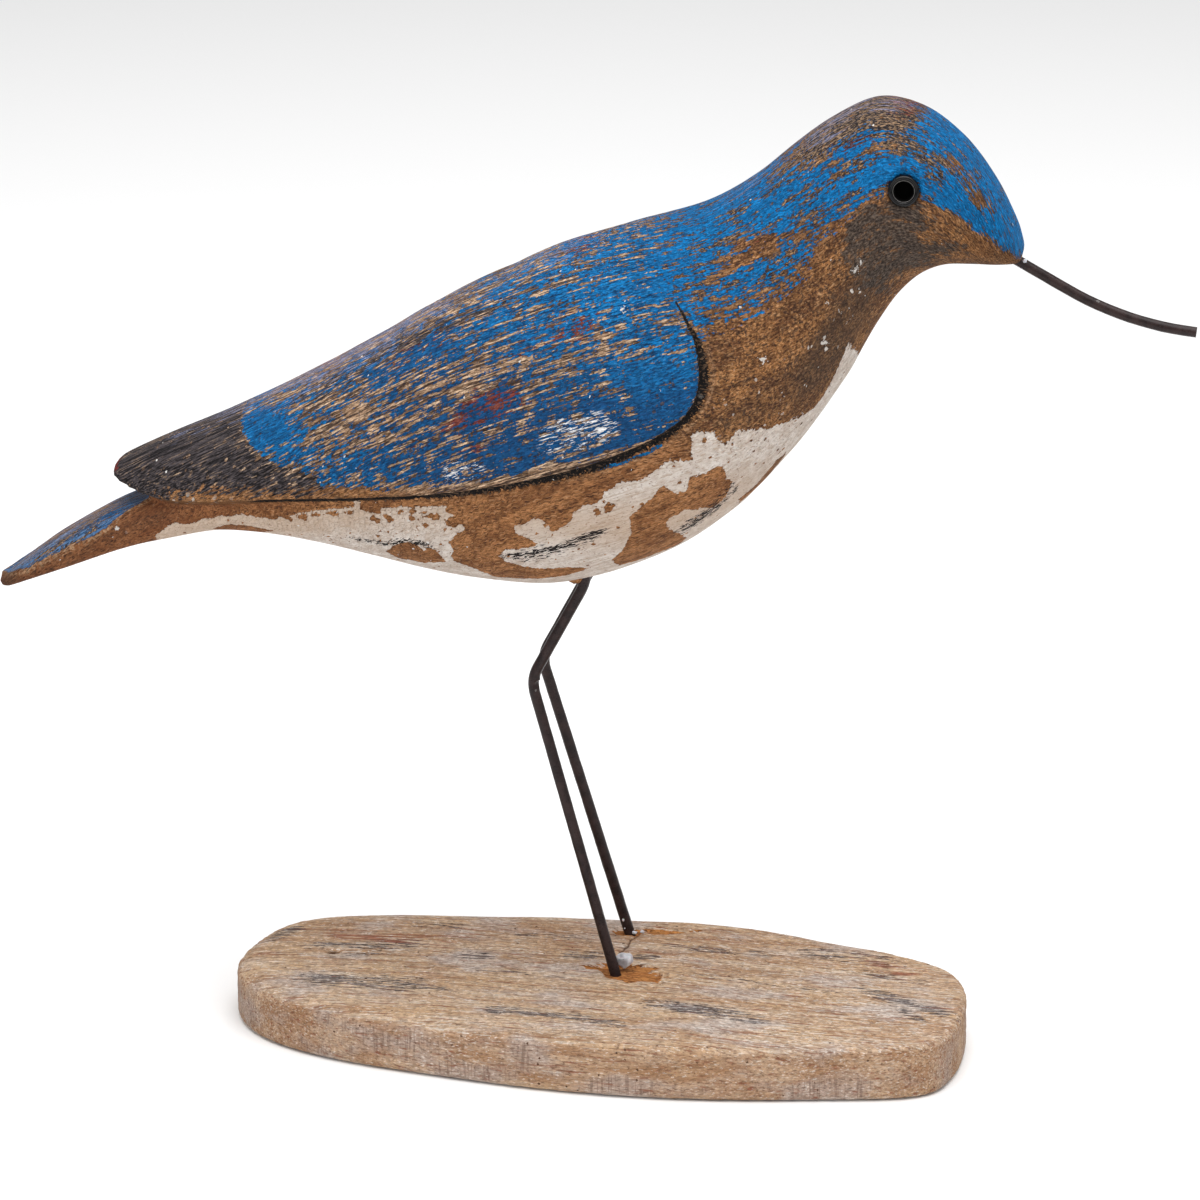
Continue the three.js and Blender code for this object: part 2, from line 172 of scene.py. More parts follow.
def remeshed(piece, face, smoothings):
    """Even faces of one size all over, which rounds the edges off a little"""
    shaped_by(piece, "REMESH", mode="VOXEL", voxel_size=face * MM)
    shaped_by(piece, "SMOOTH", factor=0.5, iterations=smoothings)


def read_vertices(piece, what):
    flat = np.empty(len(piece.data.vertices) * 3)
    piece.data.vertices.foreach_get(what, flat)
    return flat.reshape(-1, 3)


def points_of(piece):
    """A mesh's points in millimetres"""
    return read_vertices(piece, "co") / MM


def normals_of(piece):
    return read_vertices(piece, "normal")


def set_points(piece, points):
    piece.data.vertices.foreach_set("co", (points * MM).ravel())
    piece.data.update()


def record(piece, name, *values):
    """Keep one number, or three, for each point of the mesh, for its material to read"""
    table = np.asarray(np.column_stack(values) if len(values) > 1 else values[0], np.float32)
    kind, field = ("FLOAT", "value") if table.ndim == 1 else ("FLOAT_VECTOR", "vector")
    piece.data.attributes.new(name, kind, "POINT").data.foreach_set(field, table.ravel())


def smooth_curve(knots, shares, closed=False):
    """Points of the smooth curve through the knots. A share runs from 0 to 1 along it."""
    knots = np.asarray(knots, float)
    if closed:
        around = np.vstack([knots[-1:], knots, knots[:2]])
        spans = len(knots)
    else:
        around = np.vstack([2 * knots[:1] - knots[1:2], knots, 2 * knots[-1:] - knots[-2:-1]])
        spans = len(knots) - 1
    reach = np.asarray(shares, float) * spans
    at = np.clip(np.floor(reach).astype(int), 0, spans - 1)
    t = (reach - at)[:, None]
    before, start, end, after = (around[at + k] for k in range(4))
    leave, arrive = (end - before) / 2, (after - start) / 2
    bend = -3 * start + 3 * end - 2 * leave - arrive
    return start + t * (leave + t * (bend + t * (2 * start - 2 * end + leave + arrive)))


def eased(value, low, high):
    """0 at low, 1 at high, and smooth between. Low may be the larger one."""
    t = np.clip((value - low) / (high - low), 0, 1)
    return t * t * (3 - 2 * t)


def rough(points, sizes, octaves=3, shift=0.0):
    """Smooth noise from about -1 to 1, with a grain size in millimetres for each axis"""
    scaled = points / np.asarray(sizes, float) + shift
    return np.array([noise.fractal(Vector(point), 0.9, 2.1, octaves) for point in scaled])


def line_distance(places, knots, closed=False):
    """How far each place is from a line through the knots, all in two dimensions"""
    nearest = np.full(len(places), np.inf)
    ends = list(knots[1:]) + ([knots[0]] if closed else [])
    for start, end in zip(knots, ends):
        start, end = np.asarray(start, float), np.asarray(end, float)
        run = end - start
        share = np.clip((places - start) @ run / (run @ run), 0, 1)
        gap = places - start - share[:, None] * run
        nearest = np.minimum(nearest, np.einsum("ij,ij->i", gap, gap))
    return np.sqrt(nearest)


def depth_inside(places, outline):
    """How far each place is inside a closed outline. Outside it is negative."""
    inside = np.zeros(len(places), bool)
    for (x1, y1), (x2, y2) in zip(outline, list(outline[1:]) + [outline[0]]):
        if y1 != y2:
            crosses = (y1 > places[:, 1]) != (y2 > places[:, 1])
            inside ^= crosses & (places[:, 0] < (x2 - x1) * (places[:, 1] - y1) / (y2 - y1) + x1)
    return np.where(inside, 1, -1) * line_distance(places, outline, closed=True)


def streak_strength(places, streaks):
    """The strongest of tapering streaks, each given by its ends, half width and strength"""
    total = np.zeros(len(places))
    for x1, y1, x2, y2, half, strength in streaks:
        start, run = np.array([x1, y1]), np.array([x2 - x1, y2 - y1], float)
        share = (places - start) @ run / (run @ run)
        side = np.abs((places - start) @ np.array([-run[1], run[0]]) / np.linalg.norm(run))
        taper = eased(share, -0.15, 0.25) * eased(share, 1.15, 0.75)
        total = np.maximum(total, strength * taper * np.exp(-((side / half) ** 2) * 0.6))
    return total


def patches(places, spots):
    """The sum of soft oval patches: middle, half length, half width, tilt in degrees, strength"""
    total = np.zeros(len(places))
    for x, z, half_long, half_wide, tilt, strength in spots:
        c, s = cos(radians(tilt)), sin(radians(tilt))
        u = ((places[:, 0] - x) * c + (places[:, 1] - z) * s) / half_long
        v = ((places[:, 1] - z) * c - (places[:, 0] - x) * s) / half_wide
        total += strength * np.exp(-(u * u + v * v))
    return total


class Tone:
    """A number, colour or place that changes over a surface, as a node of its material gives it"""

    def __init__(self, socket):
        self.socket, self.tree = socket, socket.id_data

    def __add__(self, other):
        return combined("ADD", self, other)

    def __sub__(self, other):
        return combined("SUBTRACT", self, other)

    def __rsub__(self, other):
        return combined("SUBTRACT", other, self)

    def __mul__(self, other):
        return combined("MULTIPLY", self, other)

    def __truediv__(self, other):
        return combined("DIVIDE", self, other)


def node(kind, inputs, tree=None, **settings):
    """Add a node beside the tones that go into it. Gives its outputs, by name and by number."""
    tree = tree or next(value.tree for value in inputs.values() if isinstance(value, Tone))
    made = tree.nodes.new("ShaderNode" + kind)
    for setting, value in settings.items():
        setattr(made, setting, value)
    for socket, value in inputs.items():
        if isinstance(value, Tone):
            tree.links.new(value.socket, made.inputs[socket])
        else:
            made.inputs[socket].default_value = (*value, 1) if isinstance(value, tuple) else value
    outputs = [Tone(output) for output in made.outputs]
    return {tone.socket.name: tone for tone in outputs} | dict(enumerate(outputs))


def combined(operation, *values):
    return node("Math", dict(enumerate(values)), operation=operation)[0]


def swayed(base, *weighted):
    """A base pushed up or down by tones that are centred on a half, each with its weight"""
    for tone, weight in weighted:
        base = combined("MULTIPLY_ADD", tone - 0.5, weight, base)
    return base


def between(tone, low, high, out_low=0.0, out_high=1.0):
    """A smooth step from out_low, where the tone is low, to out_high, where it is high"""
    inputs = {"Value": tone, 1: low, 2: high, 3: out_low, 4: out_high}
    return node("MapRange", inputs, interpolation_type="SMOOTHSTEP")[0]


def blended(mask, under, over, mode="MIX"):
    """Two colours, the second laid over the first where the mask is 1"""
    return node("Mix", {"Factor": mask, 6: under, 7: over}, data_type="RGBA", blend_type=mode)[2]


def graded(tone, low, high, under, over):
    """From one colour, where the tone is low, to another, where it is high"""
    return blended(between(tone, low, high), under, over)


def layered(base, *layers):
    """Lay colours over a base. Each shows as its tone goes from low to high, up to its strength,
    and no further than a mask at the end of its row allows."""
    for tone, low, high, strength, colour, *masks in layers:
        shows = between(tone, low, high, 0.0, strength)
        for mask in masks:
            shows = shows * mask
        base = blended(shows, base, colour)
    return base


def split(vector):
    parts = node("SeparateXYZ", {0: vector})
    return parts[0], parts[1], parts[2]


def joined(x, y, z):
    return node("CombineXYZ", {0: x, 1: y, 2: z})[0]


def noise_at(place, scale, detail, roughness=0.5):
    inputs = {"Vector": place, "Scale": scale, "Detail": detail, "Roughness": roughness}
    return node("TexNoise", inputs)[0]


def bumped(height, strength, depth):
    """A normal from a height, with the depth in millimetres"""
    return node("Bump", {"Strength": strength, "Distance": depth * MM, "Height": height})[0]


def new_group(name, output, **inputs):
    """An empty node group with one output, and its inputs as tones. None is for a place."""
    group = bpy.data.node_groups.new(name, "ShaderNodeTree")
    for socket, value in inputs.items():
        kind = "NodeSocketVector" if value is None else "NodeSocketFloat"
        made = group.interface.new_socket(socket, in_out="INPUT", socket_type=kind)
        if value is not None:
            made.default_value = value
    group.interface.new_socket(output, in_out="OUTPUT", socket_type="NodeSocketFloat")
    entry = group.nodes.new("NodeGroupInput")
    return group, *(Tone(entry.outputs[socket]) for socket in inputs)


def put_out(tone):
    """Make a tone what its node group puts out"""
    tone.tree.links.new(tone.socket, tone.tree.nodes.new("NodeGroupOutput").inputs[0])


def use_group(group, **inputs):
    return node("Group", inputs, node_tree=group)[0]


def new_material(name, **settings):
    """A material with one surface shader. Its uniform numbers go on the shader's sockets."""
    material = bpy.data.materials.new(name)
    material.use_nodes = True
    shader = material.node_tree.nodes["Principled BSDF"]
    for socket, value in settings.items():
        shader.inputs[socket.replace("_", " ")].default_value = value
    return material, shader


def attribute(shader, name, kind="Vector"):
    """What was recorded for each point of the mesh under this name"""
    return node("Attribute", {}, shader.id_data, attribute_name=name)[kind]


def wired(shader, **tones):
    for socket, tone in tones.items():
        tone.tree.links.new(tone.socket, shader.inputs[socket.replace("_", " ")])


def finish_with(piece, material, stands_for):
    """Give a piece its material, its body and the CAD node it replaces"""
    piece.data.materials.clear()
    piece.data.materials.append(material)
    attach(piece, "root")
    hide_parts(stands_for)


# Grain: noise drawn out along the first axis of Place, which is in millimetres
grain_group, place, length, width, shift, contrast = new_group(
    "wood_grain", "Value", Place=None, Length=16.0, Width=1.2, Shift=0.0, Contrast=3.0
)
x, y, z = split(place)
wavy = noise_at(joined(x / length + shift, y / width, z / width), 1.0, 3.0, 0.55)
put_out(combined("MULTIPLY_ADD", wavy - 0.5, contrast, 0.5))

# Specks: small scattered dots of uneven size, a given share of them left out
speck_group, place, spacing, size, share = new_group(
    "specks", "Mask", Place=None, Spacing=2.0, Size=0.2, Share=0.5
)
cells = node("TexVoronoi", {"Vector": place, "Scale": combined("DIVIDE", 1.0, spacing)})
chance = node("SeparateColor", {0: cells["Color"]})
reach = combined("POWER", chance[1], 2.0) * size * (noise_at(place, 3.0, 2.0) * 2.0)
dot = combined("LESS_THAN", cells["Distance"], reach)
put_out(dot * combined("LESS_THAN", chance[0], share))

# Grit: small cells, longer along the grain, each with its own value from 0 to 1
grit_group, place, length, width = new_group(
    "grit", "Value", Place=None, Length=0.8, Width=0.4
)
x, y, z = split(place)
drawn = joined(x / length, y / width, z / width)
cells = node("TexVoronoi", {"Vector": drawn, "Scale": 1.0})
put_out(node("SeparateColor", {0: cells["Color"]})[0])


def grain(place, length, width, shift, contrast=3.0):
    return use_group(
        grain_group, Place=place, Length=length, Width=width, Shift=shift, Contrast=contrast
    )


def specks(place, spacing, size, share):
    return use_group(speck_group, Place=place, Spacing=spacing, Size=size, Share=share)


def grit(place, length, width):
    return use_group(grit_group, Place=place, Length=length, Width=width)


rim = smooth_curve(SLAB_OUTLINE, np.linspace(0, 1, SLAB_RIM_POINTS + 1)[:-1], closed=True)
rim *= [SLAB_LENGTH / 2, SLAB_WIDTH / 2]
slab = extruded("driftwood_stand", np.insert(rim, 2, 0, axis=1), (0, 0, SLAB_THICKNESS))
for height, radius, steps in [(SLAB_THICKNESS, SLAB_TOP_ROUND, 6), (0, SLAB_UNDER_ROUND, 3)]:
    ends = points_of(slab)[[i for edge in slab.data.edges for i in edge.vertices], 2]
    choose(slab, "EDGE", np.abs(ends.reshape(-1, 2) - height).max(axis=1) < 0.01)
    bpy.ops.mesh.bevel(offset=radius * MM, segments=steps, clamp_overlap=False)
    bpy.ops.object.mode_set(mode="OBJECT")
remeshed(slab, SLAB_FACE, smoothings=3)

at, out = points_of(slab), normals_of(slab)
x, height, upright = at[:, 0], at[:, 2], out[:, 2]
flat_way = at[:, :2]
# The grain bends a little round the middle, and runs off towards the front at the right end
bent = at[:, 1] + 2.2 * np.sin(x / 34) + 0.10 * np.clip(x - 20, 0, None)
along_grain = np.column_stack([x, bent, height])
upward = eased(height, 9, 13.5)
streaky = streak_strength(flat_way, SLAB_STREAKS)
reddish = streak_strength(flat_way, SLAB_REDS)
ridges = rough(along_grain, (22, 1.5, 1.5), 3)
lift = 0.13 * ridges + 0.30 * rough(at, (30, 18, 18), 2, 7.0) * upward
lift -= 0.45 * eased(ridges, 0.25, 0.9) * eased(streaky, 0.2, 0.9) * upward
# The torn wood, the pits and the crack
torn = np.maximum(depth_inside(flat_way, TORN_RIGHT), depth_inside(flat_way, TORN_LEFT))
ragged = torn + 0.8 * rough(along_grain, (5, 0.9, 0.9), 2, 3.0)
splintery = 1.0 + 0.35 * rough(along_grain, (6, 0.7, 0.7), 2)
lift -= eased(ragged, -0.3, 0.5) * splintery * upward
pits = np.zeros(len(at))
for pit_x, pit_y, radius in SLAB_PITS:
    away = np.hypot((x - pit_x) / 1.4, at[:, 1] - pit_y)
    pits = np.maximum(pits, eased(away, radius * 1.25, radius * 0.5))
lift -= 1.3 * pits * upward
crack = line_distance(flat_way, FOOT_CRACK) + 0.25 * rough(at, (2, 2, 2), 2)
lift -= 0.5 * eased(crack, 0.9, 0.1) * upward
# The left end is worn rounder than the rest
worn_end = eased(depth_inside(flat_way, [tuple(point) for point in rim]), 8, -1) ** 2
lift -= 1.5 * worn_end * eased(-x, 5, 60) * upward * np.clip(upright, 0, 1)
lift *= eased(height, 0.2, 2.5)
set_points(slab, at + out * lift[:, None])
worn_rim = eased(height, 11.2, 13.4) * eased(upright, 0.93, 0.6) * eased(x, 10, 60)
limed = patches(flat_way, SLAB_LIMES) + 0.06 * worn_rim
# Painted shade in the pits and the crack, whose hollows are coloured dark; the knots among the pits are
# dark wood as well
pit_and_crack_shade = np.maximum(pits, eased(crack, 0.75, 0.25) * 0.8)
upended = eased(np.abs(upright), 0.7, 0.3)
record(slab, "grain_place", along_grain)
record(slab, "stains_and_pit_shade", streaky * upward, reddish * upward, pit_and_crack_shade * upward)
record(slab, "torn", np.where(height > 11, torn, -5))
record(slab, "weather", limed, patches(flat_way, SLAB_BROWNS), upended)
alone(slab)
bpy.ops.object.shade_smooth()

driftwood, shader = new_material("driftwood", Roughness=0.85, Specular_IOR_Level=0.15)
place = attribute(shader, "grain_place")
dark_part, red_part, pit_shade_part = split(attribute(shader, "stains_and_pit_shade"))
torn_part = attribute(shader, "torn", "Fac")
lime_part, brown_part, side_part = split(attribute(shader, "weather"))
broad = grain(place, 60.0, 4.0, 0.0, 3.2)
medium = grain(place, 17.0, 1.2, 3.0, 3.4)
fibre = grain(place, 7.0, 0.6, 9.0, 3.4)
fine = grain(place, 1.35, 0.42, 21.0, 3.4)
soft = grain(place, 24.0, 12.0, 5.0)
top_part = 1.0 - side_part * 0.45
wood = layered(
    graded(broad, 0.1, 0.9, (0.385, 0.235, 0.135), (0.53, 0.385, 0.265)),
    (soft, 0.45, 0.95, 1.0, (0.455, 0.365, 0.31)),
    (soft, 0.42, 0.05, 0.8, (0.49, 0.33, 0.20)),
    (swayed(brown_part, (medium, 0.5)), 0.0, 0.8, 0.6, (0.33, 0.18, 0.10)),
    (medium, 0.62, 0.95, 0.26, (0.25, 0.14, 0.09), top_part),
    (medium, 0.36, 0.0, 0.22, (0.64, 0.52, 0.42), top_part),
    (fibre, 0.71, 0.88, 0.5, (0.22, 0.12, 0.08), top_part),
    (fibre - lime_part * 0.35, 0.15, -0.06, 0.55, (0.72, 0.66, 0.60), top_part),
    (fine, 0.76, 0.94, 0.6, (0.14, 0.08, 0.055)),
    (fine - lime_part * 0.3, 0.11, -0.04, 0.6, (0.78, 0.74, 0.70)),
)
# The saw left upright marks here and there on the sides, which are a little darker. The sides as a whole
# also get painted shade.
x, y, z = split(place)
sawn = between(soft, 0.55, 0.8) * side_part
upright_grain = grain(joined(z, x, y), 14.0, 0.8, 2.0, 3.2)
wood = layered(wood, (upright_grain, 0.6, 0.85, 0.5, (0.19, 0.12, 0.09), sawn))
# Painted shade: the sides are made darker and browner than the top, as they face away from the light
# overhead
wood = blended(1.0, wood, blended(side_part * 0.9, (1, 1, 1), (0.86, 0.79, 0.74)), "MULTIPLY")
# The grey streaks, the traces of red, the torn wood, and the pits and the crack, which get painted shade in
# their hollows and are dark wood where they are knots
streak_edge = swayed(dark_part - 0.055, (medium, 1.1), (fibre, 1.3), (fine, 0.5))
streak_edge = streak_edge * between(dark_part, 0.1, 0.3)
streak_mask = between(streak_edge, 0.48, 0.66, 0.0, 0.85)
greyed = layered(
    graded(fibre, 0.2, 0.8, (0.22, 0.19, 0.185), (0.055, 0.047, 0.05)),
    (fine, 0.3, 0.1, 0.8, (0.46, 0.43, 0.41)),
    (fine, 0.7, 0.9, 0.8, (0.03, 0.026, 0.028)),
)
fresh = layered(
    graded(fibre, 0.2, 0.8, (0.44, 0.19, 0.06), (0.24, 0.085, 0.025)),
    (fine, 0.7, 0.95, 0.8, (0.07, 0.025, 0.012)),
)
red_edge = swayed(red_part - 0.04, (medium, 0.8), (fibre, 0.9))
wood = layered(
    blended(streak_mask, wood, greyed),
    (red_edge, 0.35, 0.85, 0.8, (0.24, 0.085, 0.05)),
    (swayed(torn_part, (medium, 1.6), (fine, 0.5)), -0.1, 0.2, 1.0, fresh),
    (pit_shade_part, 0.25, 0.9, 1.0, (0.075, 0.035, 0.02)),
)
wood = blended(specks(place, 2.6, 0.15, 0.5), wood, (0.10, 0.05, 0.03))
cell = blended(side_part, grit(place, 1.0, 0.95), grit(place, 0.9, 0.36))
wood = blended(1.0, wood, swayed(1.0, (cell, 0.42)), "MULTIPLY")
relief = fibre * -0.8 - medium - fine * 0.5 - streak_mask * 0.8
wired(shader, Base_Color=wood, Normal=bumped(relief, 0.9, 0.22))
finish_with(slab, driftwood, "driftwood_slab")


# The legs: each is one length of steel wire, browned and waxed, bent where it leaves the belly
# and again at the knee, and stuck in the slab. The near one has a nick inside its knee.
HIP = np.array([-4.8, 20.0, 121.5])
LEG_WIRE, LEG_BEND = 3.0, 4.0
HIP_BEND_RISE = 2.4
KNEE_BACK, KNEE_DROP = 15.0, 26.0
FOOT_AHEAD, LEG_HEIGHT = 8.4, 107.0
HIP_SPREAD, FOOT_SPREAD = 19.0, 29.2
LEG_IN_BODY, LEG_IN_SLAB = 12.0, 9.0
WIRE_STEP, BEND_STEPS = 1.2, 12
WIRE_DENTS = 0.05


def towards(start, end, length):
    """A step of this length from one point towards another"""
    run = np.asarray(end, float) - start
    return run * length / np.linalg.norm(run)


def wire_route(corners, bend):
    """Straight runs with a rounded bend at each inner corner, as evenly spaced points"""
    route = [corners[0]]

    def run_to(end):
        start = route[-1]
        length = np.linalg.norm(end - start)
        if length > 0.01:
            count = max(int(length / WIRE_STEP), 1)
            route.extend(start + (end - start) * k / count for k in range(1, count + 1))

    for before, corner, after in zip(corners, corners[1:], corners[2:]):
        enter = corner + towards(corner, before, bend)
        leave = corner + towards(corner, after, bend)
        run_to(enter)
        for t in np.arange(1, BEND_STEPS + 1) / BEND_STEPS:
            route.append((1 - t) ** 2 * enter + 2 * t * (1 - t) * corner + t * t * leave)
    run_to(corners[-1])
    return np.array(route)


def wire_piece(name, route, thickness):
    """A round wire drawn along its route, closed at both ends"""
    line = bpy.data.curves.new(name, "CURVE")
    line.dimensions = "3D"
    line.bevel_depth = thickness / 2 * MM
    line.bevel_resolution = 6
    line.use_fill_caps = True
    run = line.splines.new("POLY")
    run.points.add(len(route) - 1)
    for point, place in zip(run.points, route):
        point.co = (*(place * MM), 1)
    piece = bpy.data.objects.new(name, line)
    bpy.context.collection.objects.link(piece)
    alone(piece)
    bpy.ops.object.convert(target="MESH")
    piece = bpy.context.object
    piece.data.name = name
    surface = points_of(piece)
    dents = WIRE_DENTS * rough(surface, (3, 3, 3), 2)
    set_points(piece, surface + normals_of(piece) * dents[:, None])
    alone(piece)
    bpy.ops.object.shade_smooth_by_angle(angle=radians(50))
    return piece


def leg_route(side):
    hip = HIP + [0, side * HIP_SPREAD / 2, HIP_BEND_RISE]
    top = HIP + [0, side * HIP_SPREAD / 2, LEG_IN_BODY]
    knee = HIP + [-KNEE_BACK, side * HIP_SPREAD / 2, -KNEE_DROP]
    foot = HIP + [FOOT_AHEAD, side * FOOT_SPREAD / 2, -LEG_HEIGHT]
    return wire_route([top, hip, knee, foot + towards(knee, foot, LEG_IN_SLAB)], LEG_BEND)


def in_millimetres(shader):
    """Places on the piece, in millimetres"""
    place = node("TexCoord", {}, shader.id_data)["Object"]
    return node("VectorMath", {0: place, "Scale": 1 / MM}, operation="SCALE")[0]


browned, shader = new_material("browned_wire", Specular_IOR_Level=0.22)
place = in_millimetres(shader)
cloud = noise_at(place, 0.35, 4.0)
pitting = noise_at(place, 2.6, 3.0)
brown = layered(
    graded(cloud, 0.35, 0.65, (0.014, 0.0075, 0.0075), (0.030, 0.0165, 0.0155)),
    (pitting, 0.62, 0.72, 0.6, (0.05, 0.032, 0.026)),
)
wired(
    shader,
    Base_Color=blended(specks(place, 3.2, 0.14, 0.3), brown, (0.12, 0.11, 0.105)),
    Roughness=between(pitting, 0.3, 0.7, 0.26, 0.42),
    Normal=bumped(pitting, 0.5, 0.08),
)

right_leg = wire_piece("leg_wire_right", leg_route(-1), LEG_WIRE)
left_leg = wire_piece("leg_wire_left", leg_route(1), LEG_WIRE)
# The nick: the bender's jaw bit the wire just below the knee, and raised a burr above it
nick = HIP + [-KNEE_BACK + 1.75, -HIP_SPREAD / 2 - 0.6, -KNEE_DROP - 0.9]
surface, out = points_of(right_leg), normals_of(right_leg)
from_nick = np.linalg.norm(surface - nick, axis=1)
from_burr = np.linalg.norm(surface - nick - [0.2, 0, 1.3], axis=1)
pushed = 0.45 * eased(from_burr, 1.0, 0.2) - 0.7 * eased(from_nick, 1.3, 0.4)
set_points(right_leg, surface + out * pushed[:, None])
finish_with(right_leg, browned, "leg_right")
finish_with(left_leg, browned, "leg_left")


# The carved body: one piece of wood shaped from the side, rounded over and gouged round the
# wings. It was painted in coats of black, red and blue with a white belly, then worn through.
# It sits on the ends of the two legs.
SQUARE = 10.0
HALF_WIDTH, WING_RELIEF = 35.0, 1.8
# Each station of the pattern: the back's x and z, the underside's x and z, in squares from the
# hip, then how wide it is, how full its section is and where it is widest
TRUNK = [
    (-16.14, -0.54, -16.1, -0.85, 0.14, 2.4, 0.5), (-15.86, -0.42, -15.82, -0.8, 0.21, 2.8, 0.5),
    (-15.3, 0.02, -15.2, -0.58, 0.23, 3.2, 0.5), (-14.4, 0.68, -14.2, -0.17, 0.26, 4, 0.5),
    (-13.1, 1.47, -12.7, 0.45, 0.31, 3.8, 0.5), (-11.6, 2.14, -11.1, 0.93, 0.42, 3.2, 0.48),
    (-10, 3, -9.6, 1.27, 0.57, 2.8, 0.46), (-8.2, 4.15, -7.8, 1.13, 0.72, 2.5, 0.46),
    (-6.1, 5.7, -5.6, 0.64, 0.85, 2.3, 0.48), (-3.8, 7.4, -3.1, 0.13, 0.95, 2.2, 0.48),
    (-1.4, 8.9, -0.7, 0.04, 1, 2.15, 0.48), (1, 9.78, 1.8, 0.87, 1, 2.15, 0.47),
    (3, 10.45, 3.8, 2.19, 0.93, 2.1, 0.45), (4.3, 11.24, 5.4, 3.93, 0.8, 2.1, 0.42),
    (5.25, 12.04, 6.7, 5.83, 0.68, 2.1, 0.42), (6.3, 12.86, 7.66, 7.63, 0.59, 2.1, 0.45),
    (7.5, 13.4, 8.45, 8.63, 0.545, 2.1, 0.5), (8.7, 13.16, 9.2, 9.05, 0.52, 2.1, 0.5),
    (9.7, 12.41, 9.95, 9.12, 0.47, 2.1, 0.5), (10.54, 11.35, 10.6, 9.12, 0.38, 2.1, 0.48),
    (11.1, 10.32, 11.1, 9.15, 0.25, 2.1, 0.42), (11.34, 9.6, 11.24, 9.16, 0.1, 2.1, 0.4),
]
WINGS = [
    (-12.92, 2.66, -12.9, 2.42, 0.08, 2.3, 0.45), (-12.76, 2.84, -12.7, 2.22, 0.2, 2.4, 0.4),
    (-12.3, 3.09, -12.1, 2, 0.29, 2.4, 0.34), (-11.4, 3.53, -11.1, 1.6, 0.42, 2.3, 0.34),
    (-9.8, 4.26, -9.5, 1.1, 0.59, 2.2, 0.38), (-7.9, 5.23, -7.5, 0.7, 0.74, 2.2, 0.42),
    (-5.7, 6.48, -5.2, 0.2, 0.87, 2.2, 0.46), (-3.3, 7.94, -2.7, -0.15, 0.96, 2.2, 0.48),
    (-1, 8.96, -0.4, -0.05, 1, 2.1, 0.48), (1.2, 9.68, 2, 0.8, 1, 2, 0.46),
    (3.2, 10.3, 4, 2.2, 0.93, 2, 0.43),
]
# The wing's lower and front edge, and how far the outline goes up over the back
WING_EDGE = [
    (-13.2, 2.62), (-12.5, 2.4), (-11.8, 2.2), (-11, 2.16), (-9.6, 2.36), (-7.5, 2.7), (-4.6, 3.04),
    (-2.4, 3.42), (-0.4, 3.92), (1.3, 4.54), (2.4, 5.12), (3.1, 5.8), (3.32, 6.6), (3.2, 7.4), (2.8, 8.14),
    (2.4, 8.6),
]
ABOVE_BACK = 13.0
WING_BLOCK = 100.0
# The gouged line round the wing, with its half width and depth in millimetres at each knot
GOUGE = [
    (-11.5, 2.1, 0.25, 0.15), (-10.2, 2.3, 0.3, 0.2), (-7.5, 2.7, 0.45, 0.35), (-4.6, 3.04, 0.7, 0.7),
    (-3, 3.27, 0.9, 0.9), (-1.85, 3.5, 1.1, 1.1), (0.17, 4.05, 1.3, 1.2), (1.5, 4.59, 1.4, 1.3),
    (2.2, 4.96, 1.4, 1.3), (2.85, 5.43, 1.35, 1.3), (3.24, 5.94, 1.35, 1.3), (3.4, 6.6, 1.4, 1.4),
    (3.3, 7.24, 1.2, 1.2), (3.16, 7.63, 0.8, 0.8), (2.97, 7.9, 0.5, 0.5), (2.8, 8.18, 0.35, 0.3),
    (2.58, 8.49, 0.2, 0.1),
]
# Where the eyes are: how far along the pattern, and how high on the head's side
EYE_SHARE, EYE_LIFT = 0.7815, radians(6.5)
EYE_DIAMETER, EYE_PROUD, EYE_LENGTH = 8.0, 0.9, 5.0
SOCKET_RADIUS, SOCKET_LENGTH, SOCKET_MIDDLE = 3.8, 12.0, 2.2
# The size of the body's faces, and how many points the lines and rings that shape it have
BODY_FACE = 1.0
POLE_POINTS, SOCKET_SIDES, WING_EDGE_POINTS, GOUGE_POINTS = 64, 48, 76, 130


def joined_up(name, pieces):
    """Several pieces made one"""
    alone(pieces[0])
    for piece in pieces:
        piece.select_set(True)
    bpy.ops.object.join()
    whole = bpy.context.object
    whole.name = whole.data.name = name
    return whole


def rounded(value, full):
    return np.sign(value) * np.abs(value) ** (2 / full)


def carved_points(stations, relief, shares, angles):
    """Points of a carved form, in squares from the hip. A share is 0 at the tail and 1 at the
    head. An angle is 0 on the bird's left, a quarter turn on its back and a half on its right."""
    table = smooth_curve(stations, shares)
    full, widest = table[:, 5], table[:, 6]
    up = rounded(np.sin(angles), full)
    height = widest + up * np.where(up > 0, 1 - widest, widest)
    side_view = table[:, 2:4] + (table[:, 0:2] - table[:, 2:4]) * height[:, None]
    half = (table[:, 4] * HALF_WIDTH + relief) / SQUARE
    return np.column_stack([side_view[:, 0], half * rounded(np.cos(angles), full), side_view[:, 1]])


def carved_piece(name, stations, relief, rings, around):
    """A ball worked into the carved form: its poles go to the tail and the head"""
    bpy.ops.object.select_all(action="DESELECT")
    bpy.ops.mesh.primitive_uv_sphere_add(segments=around, ring_count=rings, radius=1)
    piece = new_piece(name)
    ball = points_of(piece)
    latitude = 1 - np.arccos(np.clip(ball[:, 2] / np.linalg.norm(ball, axis=1), -1, 1)) / pi
    shares = np.clip((latitude * rings - 1) / (rings - 2), 0, 1)
    places = carved_points(stations, relief, shares, np.arctan2(ball[:, 1], ball[:, 0]))
    for pole, share in [(latitude < 0.4 / rings, 0.0), (latitude > 1 - 0.4 / rings, 1.0)]:
        turns = np.arange(POLE_POINTS) * 2 * pi / POLE_POINTS
        ring = carved_points(stations, relief, np.full(POLE_POINTS, share), turns)
        places[pole] = ring.mean(axis=0)
    set_points(piece, places * SQUARE + HIP)
    return piece


